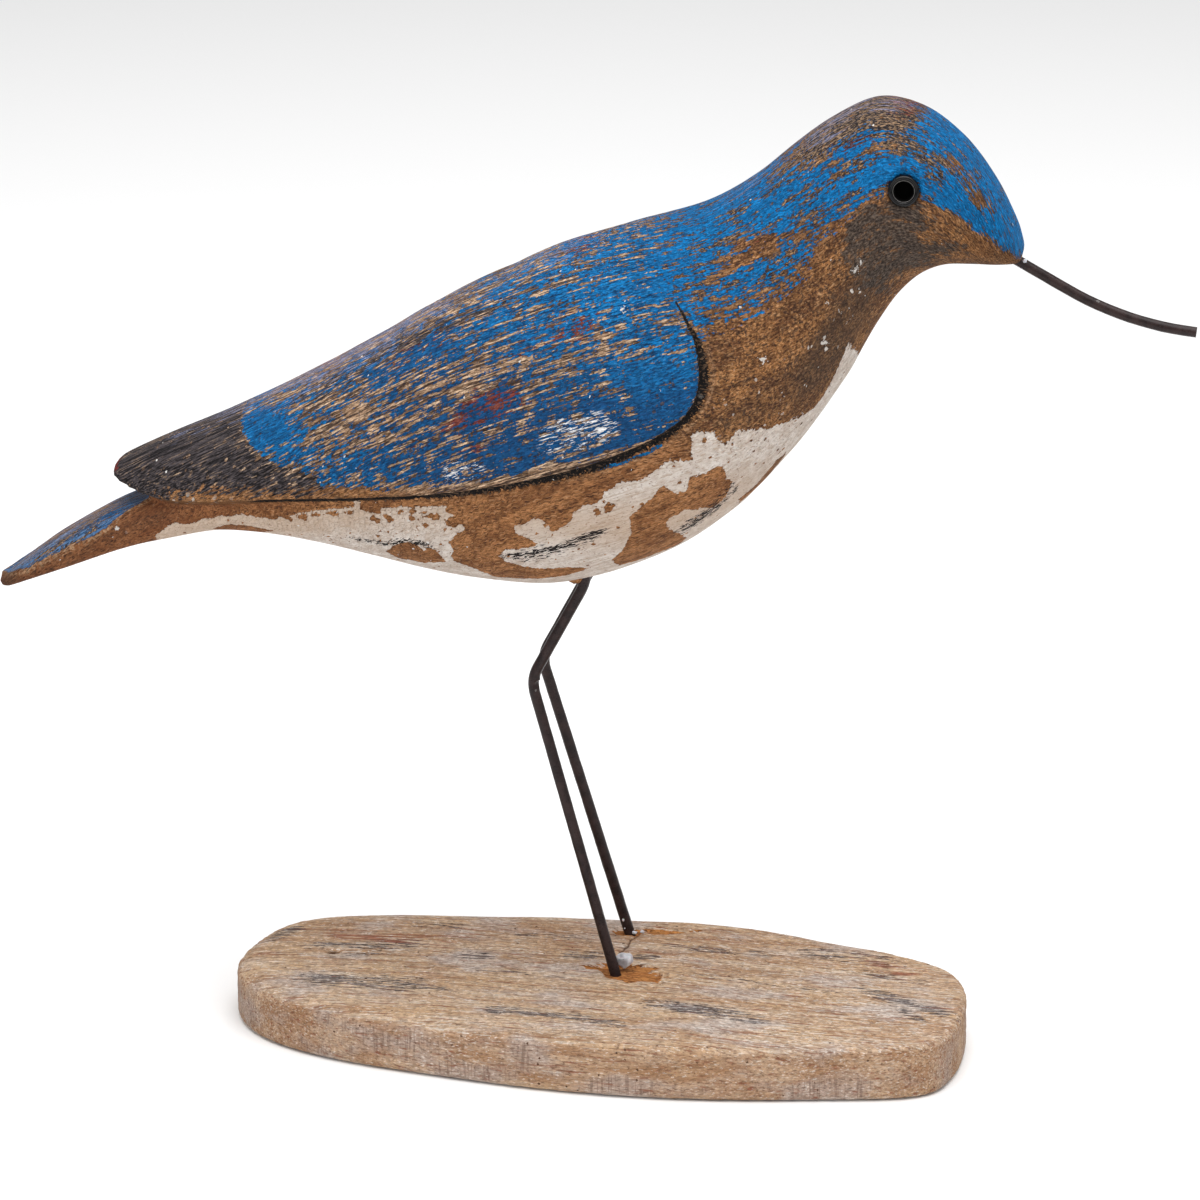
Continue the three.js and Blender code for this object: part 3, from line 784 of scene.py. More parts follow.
def eye_place(side):
    """The middle of an eye on the head's surface, and the way out of it"""
    angle = EYE_LIFT if side > 0 else pi - EYE_LIFT
    step = 1e-3
    shares = EYE_SHARE + np.array([0, -step, step, 0, 0])
    angles = angle + np.array([0, 0, 0, -step, step])
    at, back, ahead, below, above = carved_points(TRUNK, 0, shares, angles) * SQUARE + HIP
    out = np.cross(above - below, ahead - back)
    return at, out / np.linalg.norm(out)


trunk = carved_piece("carved_bird", TRUNK, relief=0, rings=300, around=220)
for side in (1, -1):
    middle, out = eye_place(side)
    bpy.ops.object.select_all(action="DESELECT")
    bpy.ops.mesh.primitive_cylinder_add(
        vertices=SOCKET_SIDES, radius=SOCKET_RADIUS * MM, depth=SOCKET_LENGTH * MM,
        location=Vector((middle + out * SOCKET_MIDDLE) * MM),
        rotation=Vector(out).to_track_quat("Z", "Y").to_euler(),
    )
    socket = new_piece("eye_socket")
    shaped_by(trunk, "BOOLEAN", operation="DIFFERENCE", object=socket, solver="EXACT")
    bpy.data.objects.remove(socket)

cape = carved_piece("cape", WINGS, relief=WING_RELIEF, rings=200, around=200)
edge_line = smooth_curve(WING_EDGE, np.linspace(0, 1, WING_EDGE_POINTS))
behind = edge_line[0, 0] - 1
corners = [(edge_line[-1, 0] - 1, ABOVE_BACK), (behind, ABOVE_BACK), (behind, edge_line[0, 1])]
wing_outline = np.vstack([edge_line, corners])
block_side = np.insert(wing_outline * SQUARE + HIP[[0, 2]], 1, HIP[1] - WING_BLOCK / 2, axis=1)
block = extruded("wing_block", block_side, (0, WING_BLOCK, 0))
shaped_by(cape, "BOOLEAN", operation="INTERSECT", object=block, solver="EXACT")
bpy.data.objects.remove(block)
body = joined_up("carved_bird", [trunk, cape])
remeshed(body, BODY_FACE, smoothings=3)

# Finer faces along the gouged line, and where the white coat is flaked off in small steps
FLAKED_LINE = [(-8.2, 2.1), (-6.4, 2.5), (-3.4, 2.7), (-0.9, 2.4), (0.6, 3.1), (2.6, 4.4), (4.2, 5)]
FINE_BY_GOUGE, FINE_BY_FLAKES, COARSE_MIDDLE = 2.6, 3.6, 10
gouge_line = smooth_curve(GOUGE, np.linspace(0, 1, GOUGE_POINTS))
at = points_of(body) - HIP
seen = at[:, [0, 2]] / SQUARE
near = line_distance(seen, gouge_line[:, :2]) * SQUARE < FINE_BY_GOUGE
near |= line_distance(seen, FLAKED_LINE) * SQUARE < FINE_BY_FLAKES
near &= np.abs(at[:, 1]) > COARSE_MIDDLE
choose(body, "FACE", [any(near[i] for i in face.vertices) for face in body.data.polygons])
bpy.ops.mesh.subdivide(number_cuts=1)
bpy.ops.object.mode_set(mode="OBJECT")


def running_length(grid, axis):
    """How far each point of a grid is from where its row or column starts"""
    steps = np.linalg.norm(np.diff(grid, axis=axis), axis=2)
    return np.insert(steps.cumsum(axis=axis), 0, 0, axis=axis).ravel()


def unit_ways(grid, axis):
    """The way to the next point of a grid"""
    ways = np.gradient(grid, axis=axis)
    return (ways / (np.linalg.norm(ways, axis=2, keepdims=True) + 1e-9)).reshape(-1, 3)


# Where each point is on the carved form: how far along it, from its back and from its belly,
# by the nearest point of a chart of its right half
CHART_ROWS, CHART_COLUMNS = 330, 121
row, column = (k.ravel() for k in np.mgrid[0:CHART_ROWS, 0:CHART_COLUMNS])
quarter = pi / 2 + pi * column / (CHART_COLUMNS - 1)
flat_chart = carved_points(TRUNK, 0, row / (CHART_ROWS - 1), quarter) * SQUARE
chart = flat_chart.reshape(CHART_ROWS, CHART_COLUMNS, 3)
from_back = running_length(chart, 1)
girth = from_back.reshape(CHART_ROWS, CHART_COLUMNS)[row, -1]
chart_finder = kdtree.KDTree(len(flat_chart))
for index, place in enumerate(flat_chart):
    chart_finder.insert(place, index)
chart_finder.balance()

at = points_of(body) - HIP
out = normals_of(body)
right_half = np.column_stack([at[:, 0], -np.abs(at[:, 1]), at[:, 2]])
nearest = np.array([chart_finder.find(place)[1] for place in right_half])
offset = right_half - flat_chart[nearest]
stepped = np.einsum("ij,ij->i", offset, unit_ways(chart, 1)[nearest])
back_arc = from_back[nearest] + stepped
belly_arc = (girth - from_back)[nearest] - stepped
along_arc = np.einsum("ij,ij->i", offset, unit_ways(chart, 0)[nearest])
along_arc += running_length(chart, 0)[nearest]

# The far side repeats the near one with its marks moved about a little
far = eased(at[:, 1], 0, 12)
shift_x = far * (0.55 * np.sin(at[:, 0] / 31 + 1) + 0.25)
shift_z = far * 0.28 * np.sin(at[:, 0] / 17 + 2)
seen = at[:, [0, 2]] / SQUARE
seen_x, seen_z = seen.T
marked = seen + np.column_stack([shift_x, shift_z])
marked_x, marked_z = marked.T
unrolled = np.column_stack([marked_x, belly_arc / SQUARE])

in_wing = depth_inside(seen, [tuple(point) for point in wing_outline]) * SQUARE
over_shoulder = eased(seen_z, 7.9, 9.6)
on_wing = eased(in_wing, -0.6 - 9 * over_shoulder, 0.6 + 9 * over_shoulder)

# The gouge, and the gentle flats that the knife left
gap = np.full(len(at), np.inf)
half_width, sunk = np.zeros(len(at)), np.zeros(len(at))
for knot_x, knot_z, knot_half_width, knot_depth in gouge_line:
    reach = np.hypot(seen_x - knot_x, seen_z - knot_z) * SQUARE
    closer = reach < gap
    gap[closer], half_width[closer], sunk[closer] = reach[closer], knot_half_width, knot_depth
gap = np.minimum(gap, line_distance(seen, gouge_line[:, :2]) * SQUARE)
sideways = eased(np.abs(out[:, 1]), 0.25, 0.6)
valley = np.clip(1 - gap / (half_width + 0.35), 0, 1) ** 0.8
lift = -sunk * valley * sideways * (1 + 0.3 * rough(at, (4, 4, 4), 2, 11.0))
lift += 0.22 * rough(at, (26, 14, 14), 2, 4.0)
strand = np.column_stack([along_arc, back_arc, at[:, 1]])
lift += 0.07 * rough(strand, (14, 1.6, 1.6), 2, 2.0) * (1 - eased(belly_arc, 45, 15))
# The tail has a ridge between its upper face and its sides, this far from the middle of its top
CREST_AT = [-16.1, -15.8, -15.2, -14.3, -13.4, -12.9, -12.3, -11.6]
CREST_OUT = [0.5, 5.5, 9.0, 10.9, 12.2, 12.2, 10.6, 8.6]
inside_crest = np.interp(seen_x, CREST_AT, CREST_OUT) - back_arc
tail = eased(-at[:, 0], 104, 110) * (1 - on_wing)
lift += 0.35 * np.exp(-((inside_crest / 1.1) ** 2)) * tail
# Splinters where the drill came through the belly behind the right leg
splinter = np.hypot((at[:, 0] + 2.6) / 1.9, (at[:, 1] + HIP_SPREAD / 2 + 0.4) / 1.3)
lift += 1.0 * eased(splinter, 1.0, 0.55) * (at[:, 2] < 15)
set_points(body, at + out * lift[:, None] + HIP)
alone(body)
bpy.ops.object.shade_smooth()

# The brush and the grain: along the wing's slope on the wings, along the form elsewhere
SLOPE_AT = [-16, -10, -4.5, -2.4, 0.8, 2.5, 4.0, 16]
SLOPE_DEGREES = [27, 26, 26, 22, 18, 16, 17, 17]
steps = np.linspace(-16.5, 12, 400)
slope = np.interp(steps, SLOPE_AT, np.tan(np.radians(SLOPE_DEGREES)))
rise = np.cumsum(slope) * (steps[1] - steps[0])
lifted = seen_z - np.interp(seen_x, steps, rise) + np.interp(3.0, steps, rise)
on_slope = np.column_stack([at[:, 0] * 1.08, lifted * SQUARE - 104, at[:, 1]])
on_form = np.column_stack([along_arc - 185, -back_arc, at[:, 1]])
# They are set to agree where they meet, on the shoulder
meeting = (np.abs(seen_x - 2.4) < 1.2) & (np.abs(seen_z - 8.6) < 1.0)
on_form += (on_slope - on_form)[meeting].mean(axis=0) * [1, 1, 0]
to_form = np.maximum(1 - on_wing, eased(seen_x, -1.0, 3.2) * eased(seen_z, 6.4, 8.8))
record(body, "brush", on_slope + (on_form - on_slope) * to_form[:, None])

# Blue: how much of the coat is left, from 0 to 1. Its border on the head and neck comes first,
# then patches, as on the slab but in squares, where it is worn and where it is sound.
BLUE_BORDER = [
    (-4, 7), (2.5, 7.9), (2.92, 8.03), (3.23, 8.09), (4.12, 8.43), (4.87, 8.8), (5.49, 9.23), (5.73, 9.74),
    (5.92, 10.12), (6.27, 10.48), (6.72, 10.84), (7.27, 11.22), (7.9, 11.49), (8.31, 11.68), (8.6, 11.52),
    (8.88, 11.22), (9.26, 10.99), (9.52, 10.88), (9.77, 10.72), (10.15, 10.4), (10.45, 10.2), (10.78, 9.8),
    (11.03, 9.62), (11.28, 9.42), (13, 9.4), (13, 15), (-4, 15),
]
BLUE_WORN = [
    (-3.2, 5.9, 2.6, 1, 26, -0.13), (-5.6, 5, 2, 0.8, 26, -0.14), (-0.4, 7.3, 1.6, 0.6, 20, -0.12),
    (-1.6, 6.6, 2, 0.5, 23, -0.1), (-7, 4.9, 1.2, 0.9, 26, -0.12), (0.9, 6, 1.3, 0.35, 18, -0.12),
    (-3.4, 7.6, 2.6, 0.5, 30, -0.1), (1.6, 7.9, 1.2, 0.3, 15, -0.2), (4.25, 9.75, 0.7, 0.42, 32, -0.42),
    (5, 10.05, 0.6, 0.25, 32, -0.3), (3.4, 8.9, 0.7, 0.5, 25, -0.2), (6.4, 11.6, 0.9, 0.25, 32, -0.2),
    (7.2, 13.1, 1, 0.35, 12, -0.45), (5.4, 11.9, 1.2, 0.25, 38, -0.2), (8.95, 12, 0.5, 0.25, -40, -0.2),
    (7.9, 12.6, 0.6, 0.45, 10, -0.6), (8.9, 12.3, 0.6, 0.35, -20, -0.45), (6.2, 12.2, 0.9, 0.4, 35, -0.3),
    (9.3, 11.7, 0.35, 0.25, -40, -0.25), (10.2, 11.1, 0.3, 0.2, -50, -0.25), (1.2, 5.2, 1.5, 0.3, 20, -0.2),
    (8.3, 13.2, 0.7, 0.3, -12, -0.5), (7.7, 13.3, 0.6, 0.2, 0, -0.4), (6.4, 12.75, 0.9, 0.35, 35, -0.35),
    (9.6, 12.05, 0.3, 0.2, -40, -0.35), (10, 11.56, 0.28, 0.18, -50, -0.35),
    (10.4, 11.1, 0.25, 0.14, -55, -0.3), (10.6, 10.8, 0.2, 0.12, -60, -0.3),
    (9.2, 11.5, 0.3, 0.15, -30, -0.2), (9.7, 11.85, 0.4, 0.15, -45, -0.25),
    (10.15, 11.12, 0.3, 0.16, -50, -0.35), (10.99, 10.33, 0.2, 0.13, -60, -0.3),
    (10.74, 11.04, 0.15, 0.1, -55, -0.3), (4.35, 8.85, 0.5, 0.12, 28, -0.2),
    (9.5, 12.3, 0.9, 0.5, -42, -0.08), (5.2, 9.9, 1.2, 0.5, 38, -0.08), (0.6, 7.25, 0.9, 0.2, 16, -0.25),
    (-2, 6.75, 0.7, 0.2, 22, -0.2), (1.5, 5.87, 0.35, 0.12, 10, -0.35), (2.1, 6.1, 0.3, 0.12, 10, -0.35),
    (-1.1, 5.12, 0.35, 0.14, 15, -0.35), (-0.45, 5.35, 0.35, 0.12, 15, -0.3),
    (-0.5, 8.05, 0.7, 0.16, 22, -0.3), (-3.2, 7.5, 2.2, 0.16, 25, -0.18),
    (-0.3, 8.75, 1.2, 0.14, 22, -0.18),
]
BLUE_SOLID = [
    (-8.3, 4.35, 1, 0.36, 10, 0.75), (1.9, 8.6, 1.3, 0.5, 15, 0.02), (2.4, 9.3, 1.4, 0.4, 18, 0.05),
    (2.3, 6.5, 1.5, 1, 80, 0.36), (-5.4, 3.9, 1.8, 0.4, 16, 0.1), (-2.6, 4.2, 2.4, 0.5, 14, 0.1),
    (0.4, 5, 1.8, 0.5, 18, 0.2), (-0.2, 8, 1.2, 0.4, 20, 0.1), (-4.1, 6.62, 0.75, 0.16, 24, 0.35),
    (-2.6, 7.26, 0.7, 0.13, 24, 0.3), (-2.1, 7.8, 1.2, 0.12, 26, 0.25), (-0.7, 7.25, 0.8, 0.32, 20, 0.28),
    (0.7, 8.5, 0.6, 0.4, 15, 0.25), (8, 11.9, 1.2, 0.3, 20, 0.22), (10.4, 11, 0.9, 0.5, -55, 0.05),
    (9.2, 12.6, 0.8, 0.3, -35, 0.05), (3.2, 10, 0.7, 0.4, 28, 0.2), (4.5, 9.15, 0.8, 0.2, 28, 0.16),
    (5.4, 9.6, 0.5, 0.22, 38, 0.14), (5, 10.9, 1, 0.4, 35, 0.15),
]
covered = depth_inside(marked, BLUE_BORDER) * SQUARE
# Its edge is ragged on the neck and crisp before the eye
fray, swing = (np.interp(marked_x, [6.0, 8.6], ends) for ends in [(6.0, 1.2), (0.21, 0.46)])
head_blue = 0.4 + np.clip(covered / fray, -1, 1) * swing
head_blue -= 0.12 * np.clip(-covered - 0.6 * fray, 0, 12)
wing_blue = 0.58 + 0.12 * eased(seen_x, -3, 2.5) - 0.02 * eased(-seen_x, 3, 7)
blue = head_blue + (wing_blue - head_blue) * on_wing * (1 - to_form * on_wing)
blue += patches(marked, BLUE_WORN) + patches(marked, BLUE_SOLID)
# Rubbed off along the ridge of the back, and bare along the wings' lower edge
blue -= 0.14 * eased(back_arc, 16, 4) * eased(marked_x, 5, 1)
RIM_AT = [-13, -11, -8, -5, -3, -1, 1, 2.2, 3.3]
RIM_BARE = [7, 6.5, 4, 2.8, 3.0, 3.2, 2.6, 1.0, 0.3]
past_rim = in_wing - np.interp(marked_x, RIM_AT, RIM_BARE)
blue -= on_wing * 0.55 * eased(past_rim, 1.2, -1.0) * eased(marked_z, 7, 5)
# The tail: faded blue on its upper face only
tail_blue = 1.7 * eased(inside_crest, -0.9, 0.5) - 1.1 - 0.3 * eased(inside_crest, 2.0, 8)
tail_blue += 0.2 * eased(seen_x, -13.6, -12.4)
blue = blue + (tail_blue - blue) * tail
# Paint that ran over the gouge's outer lip
SPILL = [(0.6, 4.1), (1.28, 4.33), (1.93, 4.6), (2.3, 4.84)]
spilled = eased(line_distance(marked, SPILL) * SQUARE, 0.85, 0.35) * (1 - on_wing)
blue += (0.62 - blue) * spilled

# Black: on the wing tips, along the ridge, and as a smudge on the cheek and throat
BLACK_BORDER = [
    (-14, 5), (-9.6, 5.2), (-9.03, 4.22), (-8.55, 3.76), (-7.9, 3.56), (-7.33, 3.5), (-6.5, 3.3),
    (-7, 3.02), (-8.74, 2.83), (-10.18, 2.66), (-10.9, 2.45), (-11.4, 2.1), (-12, 1.7), (-14, 1.7),
]
BLACK_PATCHES = [
    (-10.6, 4.2, 2.2, 0.5, 25, 0.35), (-7.5, 5.3, 2.4, 0.4, 27, 0.3), (-4.4, 7, 2.6, 0.35, 33, 0.35),
    (-1.6, 8.5, 1.6, 0.4, 30, 0.32), (0.4, 9.3, 1.4, 0.35, 20, 0.3), (2.6, 10, 1, 0.3, 22, 0.25),
    (7.1, 13, 1.2, 0.55, 18, 1), (8.4, 12.55, 0.9, 0.45, -22, 0.8), (5.6, 11.9, 1.4, 0.4, 38, 0.6),
    (-9.4, 3.3, 1.2, 0.5, 10, 0.3), (9.3, 11.8, 0.6, 0.35, -40, 0.7), (-6, 6, 1.6, 0.3, 32, 0.2),
    (3.2, 10.3, 1.2, 0.3, 25, 0.35), (-3.2, 7.5, 2.2, 0.14, 25, 0.36), (-0.3, 8.75, 1.2, 0.14, 22, 0.4),
    (6.5, 12.75, 0.8, 0.3, 35, 0.5), (8.2, 13.2, 0.7, 0.25, -10, 0.6),
]
SMUDGE = [
    (6.97, 10.83), (7.74, 11.2), (8.4, 11.25), (8.93, 10.99), (9.1, 10.58), (8.8, 10.22), (9.77, 10),
    (10.02, 9.69), (9.2, 9.5), (8.91, 9.3), (8.2, 9), (7.9, 8.5), (7.25, 8.75), (6.9, 9.3), (6.75, 10.13),
]
tip_black = depth_inside(marked, BLACK_BORDER) * SQUARE
black = np.clip(0.5 + tip_black / 9, 0, 0.86) * on_wing * eased(-marked_x, 5.8, 7)
black = black - 0.12 * eased(seen_z - 0.1 * seen_x, 4.6, 5.4) * on_wing
black = np.maximum(black, patches(marked, BLACK_PATCHES))
blue -= 1.1 * eased(black, 0.42, 0.62) * on_wing * eased(-marked_x, 6.2, 7.4)
smudge = eased(depth_inside(marked, SMUDGE) * SQUARE, -3.0, 4.0)

# White: what is left of the belly's coat, as a distance from its flaked edge, in millimetres.
# Its outlines are in squares, along the bird and up its side from the middle of the belly.
FRONT_WHITE = [
    (7.1, 0.9), (6.95, 1.85), (6.8, 1.7), (6.62, 1.6), (6.25, 1.48), (6.01, 1.6), (5.62, 2.23),
    (5.19, 2.77), (4.58, 3.58), (4.22, 4.07), (3.91, 4.05), (3.72, 4.44), (3.59, 4.76), (3.29, 5),
    (3.06, 5.16), (3.06, 4.84), (3.08, 4.46), (2.78, 4.67), (2.52, 4.89), (2.32, 4.9), (1.75, 4.82),
    (1.23, 5.05), (0.84, 4.89), (0.7, 4.69), (0.3, 4.69), (0.01, 4.59), (-0.05, 4.34), (-0.25, 4.19),
    (-0.6, 4.07), (-0.71, 4.33), (-1.02, 4.63), (-1.29, 4.38), (-1.64, 4.37), (-1.52, 4.04), (-1.19, 3.9),
    (-0.94, 3.64), (-1.42, 3.57), (-1.88, 3.5), (-2.06, 3.23), (-1.92, 3.02), (-1.5, 2.77), (-0.9, 2.61),
    (-0.25, 2.52), (0.3, 2.2), (-0.6, 2), (-2.4, 1.95), (-3.2, 1.6), (-1.5, 0.8), (-1.2, -0.2), (7.1, -0.2),
]
REAR_WHITE = [
    (-11.6, 1.4), (-11.07, 1.82), (-10.55, 1.9), (-9.95, 2.2), (-8.99, 2.57), (-8.09, 2.74), (-7.9, 2.98),
    (-7.66, 3.06), (-7.55, 3.11), (-7.23, 3.3), (-6.54, 3.66), (-5.88, 3.94), (-5.84, 4.2), (-5.7, 4.22),
    (-5.7, 3.95), (-5.54, 3.91), (-5.17, 3.99), (-5.15, 4.17), (-4.48, 4.42), (-4.04, 4.55), (-3.36, 4.77),
    (-3.36, 4.58), (-3.13, 4.52), (-3.45, 4.3), (-3.39, 4.15), (-3.19, 4.12), (-3.02, 4.27), (-2.88, 4.18),
    (-2.95, 4.02), (-3.21, 3.89), (-3.23, 3.72), (-3.41, 3.62), (-3.31, 3.43), (-3.26, 3.22), (-3.35, 3),
    (-3.28, 2.75), (-3.03, 2.61), (-2.79, 2.42), (-2.5, 2.15), (-2.2, 1.8), (-3, 1.2), (-3.9, -0.2),
    (-11.4, -0.2),
]
BELLY_BARE = [
    [(3.01, 4.01), (3.39, 3.8), (3.7, 3.72), (3.91, 3.31), (3.88, 3.17), (4.03, 2.69), (3.87, 2.34),
     (3.55, 2.24), (3.32, 2.58), (2.83, 3.06), (2.39, 3.09), (2.3, 2.93), (2.6, 2.2), (2.75, 1.5),
     (2.5, 1.2), (1.91, 1.5), (1.52, 1.5), (1, 1.7), (0.85, 2.33), (1.15, 2.69), (1.46, 3.29), (1.42, 3.87),
     (1.63, 3.96), (2.03, 4.14), (2.3, 4.31), (2.43, 4.18), (2.64, 3.81), (2.9, 3.71)],
    [(-9.95, 1.7), (-9.6, 2), (-9.1, 2.16), (-8.6, 2.22), (-8.2, 2.2), (-8.5, 1.9), (-8.9, 1.4),
     (-9.5, 1.4)],
    [(-5.14, 2.48), (-4.81, 3.01), (-4.52, 3.25), (-4.29, 3.25), (-4.08, 3.05), (-3.92, 3.25),
     (-3.73, 3.18), (-3.52, 2.68), (-3.77, 2.51), (-4.18, 2.25), (-4.47, 2.28), (-4.83, 2.13), (-5, 2.31)],
    [(4.1, 1.5), (4.5, 1.35), (5.1, 1.5), (5.3, 1.1), (4.6, 0.7), (4.1, 1)],
    [(-8.05, 2.94), (-7.76, 3.03), (-7.64, 2.97), (-7.61, 2.83), (-7.77, 2.87)],
    [(-7.5, 3.1), (-7.31, 3.22), (-7.16, 3.22), (-7.24, 3.02), (-7.4, 3.05)],
    [(-7.12, 3.25), (-6.92, 3.4), (-6.74, 3.43), (-6.89, 3.28)],
    [(-6.67, 3.47), (-6.54, 3.61), (-6.37, 3.68), (-6.25, 3.62), (-6.36, 3.51)],
    [(-6.13, 3.7), (-6.02, 3.82), (-5.88, 3.82), (-5.96, 3.7)],
    [(-5.54, 3.76), (-5.36, 3.87), (-5.16, 3.77), (-5.22, 3.66), (-5.42, 3.69)],
    [(-5.1, 3.98), (-4.96, 4.07), (-4.91, 3.99), (-4.78, 3.96), (-4.87, 3.84), (-5.04, 3.8)],
    [(-4.77, 4.19), (-4.62, 4.29), (-4.5, 4.29), (-4.62, 4.16)],
    [(-4.42, 4.3), (-4.28, 4.42), (-4.17, 4.4), (-4.28, 4.27)],
    [(-4.12, 4.33), (-3.84, 4.5), (-3.91, 4.38)],
    [(-4.06, 3.99), (-3.94, 4.1), (-3.87, 4.01), (-3.98, 3.95)],
    [(-4, 4.28), (-3.76, 4.46), (-3.55, 4.45), (-3.59, 4.28), (-3.76, 4.27)],
    [(-4.42, 4.13), (-4.34, 4.23), (-4.24, 4.13), (-4.34, 4.03)],
    [(-5.24, 3.35), (-5.05, 3.36), (-5.2, 3.44)],
    [(0.51, 4.45), (0.62, 4.53), (0.72, 4.35), (0.59, 4.24)],
    [(0.78, 4.47), (0.91, 4.58), (1.08, 4.4), (0.94, 4.23), (0.84, 4.3)],
    [(3.3, 4.64), (3.42, 4.76), (3.46, 4.62)],
    [(2.76, 3.9), (2.88, 4), (2.92, 3.86)],
    [(4, 3.76), (4.1, 3.86), (4.14, 3.74)],
    [(2, 0.4), (2.7, 0.6), (3.4, 0.4), (3.2, -0.2), (2.2, -0.2)],
    [(-7.6, 0.9), (-6.8, 1.2), (-6, 0.8), (-6.4, 0.2), (-7.4, 0.3)],
]
white = np.maximum(depth_inside(unrolled, FRONT_WHITE), depth_inside(unrolled, REAR_WHITE))
for outline in BELLY_BARE:
    white = np.minimum(white, -depth_inside(unrolled, outline))
# There is none high on the sides, or round the splinters
white = np.where(belly_arc > 62, -3, white) * SQUARE
white = np.where(splinter < 1.4, -2, white)
# Black scuffs on the white, where it rubbed against something
SCUFFED = [
    (-2.05, 3.2, 0.8, 3.72, 0.13, 1), (-1.6, 3.16, -0.3, 3.5, 0.2, 0.8), (2.5, 2.3, 3.9, 2.16, 0.2, 1),
    (3, 2.15, 4.15, 2.3, 0.12, 0.8), (-6.1, 2.78, -5, 2.9, 0.08, 0.9), (-5.2, 2.88, -4.5, 3.28, 0.07, 0.9),
    (-4.7, 3.26, -3.6, 3.36, 0.09, 0.8), (3.4, 2.5, 4.1, 2.6, 0.1, 0.7),
]
scuffed = streak_strength(unrolled, SCUFFED)

# Red undercoat showing, white scuffs on the wing, and a painted pale lavender sheen on the upper back
RED_PATCHES = [
    (-2.2, 5.65, 1, 0.42, 24, 1.6), (-2.6, 4.55, 0.4, 0.2, 24, 1), (6.95, 12.4, 0.6, 0.22, 24, 1.15),
    (0.1, 7.75, 1.1, 0.4, 20, 0.95), (-0.2, 9.3, 0.8, 0.22, 18, 0.8), (8.3, 13.25, 0.8, 0.25, -8, 0.5),
    (-4.2, 6.7, 1.3, 0.3, 28, 0.75), (-7, 5.75, 1, 0.2, 27, 0.45), (-1.4, 7.2, 0.6, 0.25, 22, 0.5),
    (-3.8, 4.7, 0.7, 0.16, 24, 0.45), (7.85, 11.62, 0.25, 0.12, 20, 0.9), (-9.6, 5, 1.6, 0.14, 27, 0.4),
    (4.4, 10, 0.7, 0.2, 30, 0.4), (10, 12.2, 0.7, 0.1, -47, 0.5), (-12.85, 2.75, 0.14, 0.14, 0, 1),
    (1.8, 7.4, 0.8, 0.2, 18, 0.4), (-3, 5.2, 0.9, 0.14, 24, 0.4),
]
SCUFF_PATCHES = [
    (0.1, 5.15, 0.8, 0.42, 20, 1), (-2.85, 3.95, 0.5, 0.3, 15, 0.75), (0.75, 5.2, 0.4, 0.2, 20, 0.4),
]
SHEEN_PATCHES = [
    (-9.6, 4.7, 2.2, 0.34, 26, 0.9), (-7.2, 5.9, 2.2, 0.35, 28, 0.9), (-5, 7, 1.8, 0.3, 32, 0.7),
    (-1, 9.1, 1.8, 0.25, 25, 0.5), (4.2, 11.2, 1.4, 0.3, 32, 0.4), (6.2, 12.75, 1, 0.25, 36, 0.8),
    (7.7, 13.35, 0.8, 0.15, 0, 0.5),
]
red, scuff = patches(marked, RED_PATCHES), patches(marked, SCUFF_PATCHES)
# The painted sheen also lies along the tail's upper face
pale = patches(marked, SHEEN_PATCHES) + 0.22 * tail * eased(inside_crest, 0.2, 4.0)
# The gouge was drawn in with black, but not at its rear end
inked = np.where(sideways > 0.3, 1.0 - np.clip(gap / (half_width + 0.15), 0, 2), -1)
inked -= 1.2 * eased(-seen_x, 8.3, 9.4)
# Bare wood is warmer on the chin and darker down the throat, and has pale flecks
WARMTH = [
    (9.9, 10, 0.9, 0.4, -35, 0.6), (9.9, 9.6, 0.8, 0.25, -10, 0.4), (3.4, 3, 3, 1, 20, 0.5),
    (-12, 0.9, 3.2, 0.6, 30, 0.7), (-10.4, 2.5, 1.9, 0.3, 6, 1), (-7.2, 2.9, 2.6, 0.24, 8, 0.9),
    (5, 7.4, 1.2, 0.8, 45, 0.5), (-1.5, 2.6, 4, 0.8, 0, 0.6), (7.2, 10.6, 1.2, 0.2, 28, 0.5),
    (-8.2, 1.9, 3.4, 0.8, 14, 0.7), (-13.6, 0.6, 2.4, 0.4, 30, 0.4),
]
THROAT = [
    (7.1, 8.3, 1.5, 0.55, 62, 0.85), (6.35, 6.9, 1.4, 0.5, 62, 0.8), (8.7, 9.3, 1, 0.25, 10, 0.7),
    (5, 6.2, 1.4, 0.8, 40, 0.35), (4.2, 5.4, 0.8, 0.5, 30, 0.3), (-15.9, -0.6, 0.5, 0.3, 30, 0.6),
    (5.9, 8.6, 0.8, 0.5, 30, 0.3), (-14.2, 0.1, 2.6, 0.5, 30, 0.4), (-11.6, 1.6, 1.6, 0.4, 20, 0.35),
    (10.3, 9.4, 0.9, 0.22, 5, 0.45),
]
FLECKS = [
    (7.3, 8.9, 0.35, 0.25, 0, 1), (6.9, 8.4, 0.3, 0.7, 0, 0.7), (6.3, 7.2, 0.5, 0.7, 0, 0.7),
    (4.4, 6.2, 1.6, 0.9, 40, 0.6), (5.2, 5.2, 0.8, 0.5, 30, 0.5), (8.6, 10.2, 1.2, 0.8, 0, 0.3),
    (-12.4, 1, 1, 0.5, 30, 0.3), (-10.5, 2.3, 2, 0.3, 5, 0.6), (0.4, 8, 1.4, 0.6, 20, 0.3),
]
warmth, throat = patches(marked, WARMTH), patches(marked, THROAT)
flecked = 0.6 * patches(marked, FLECKS)
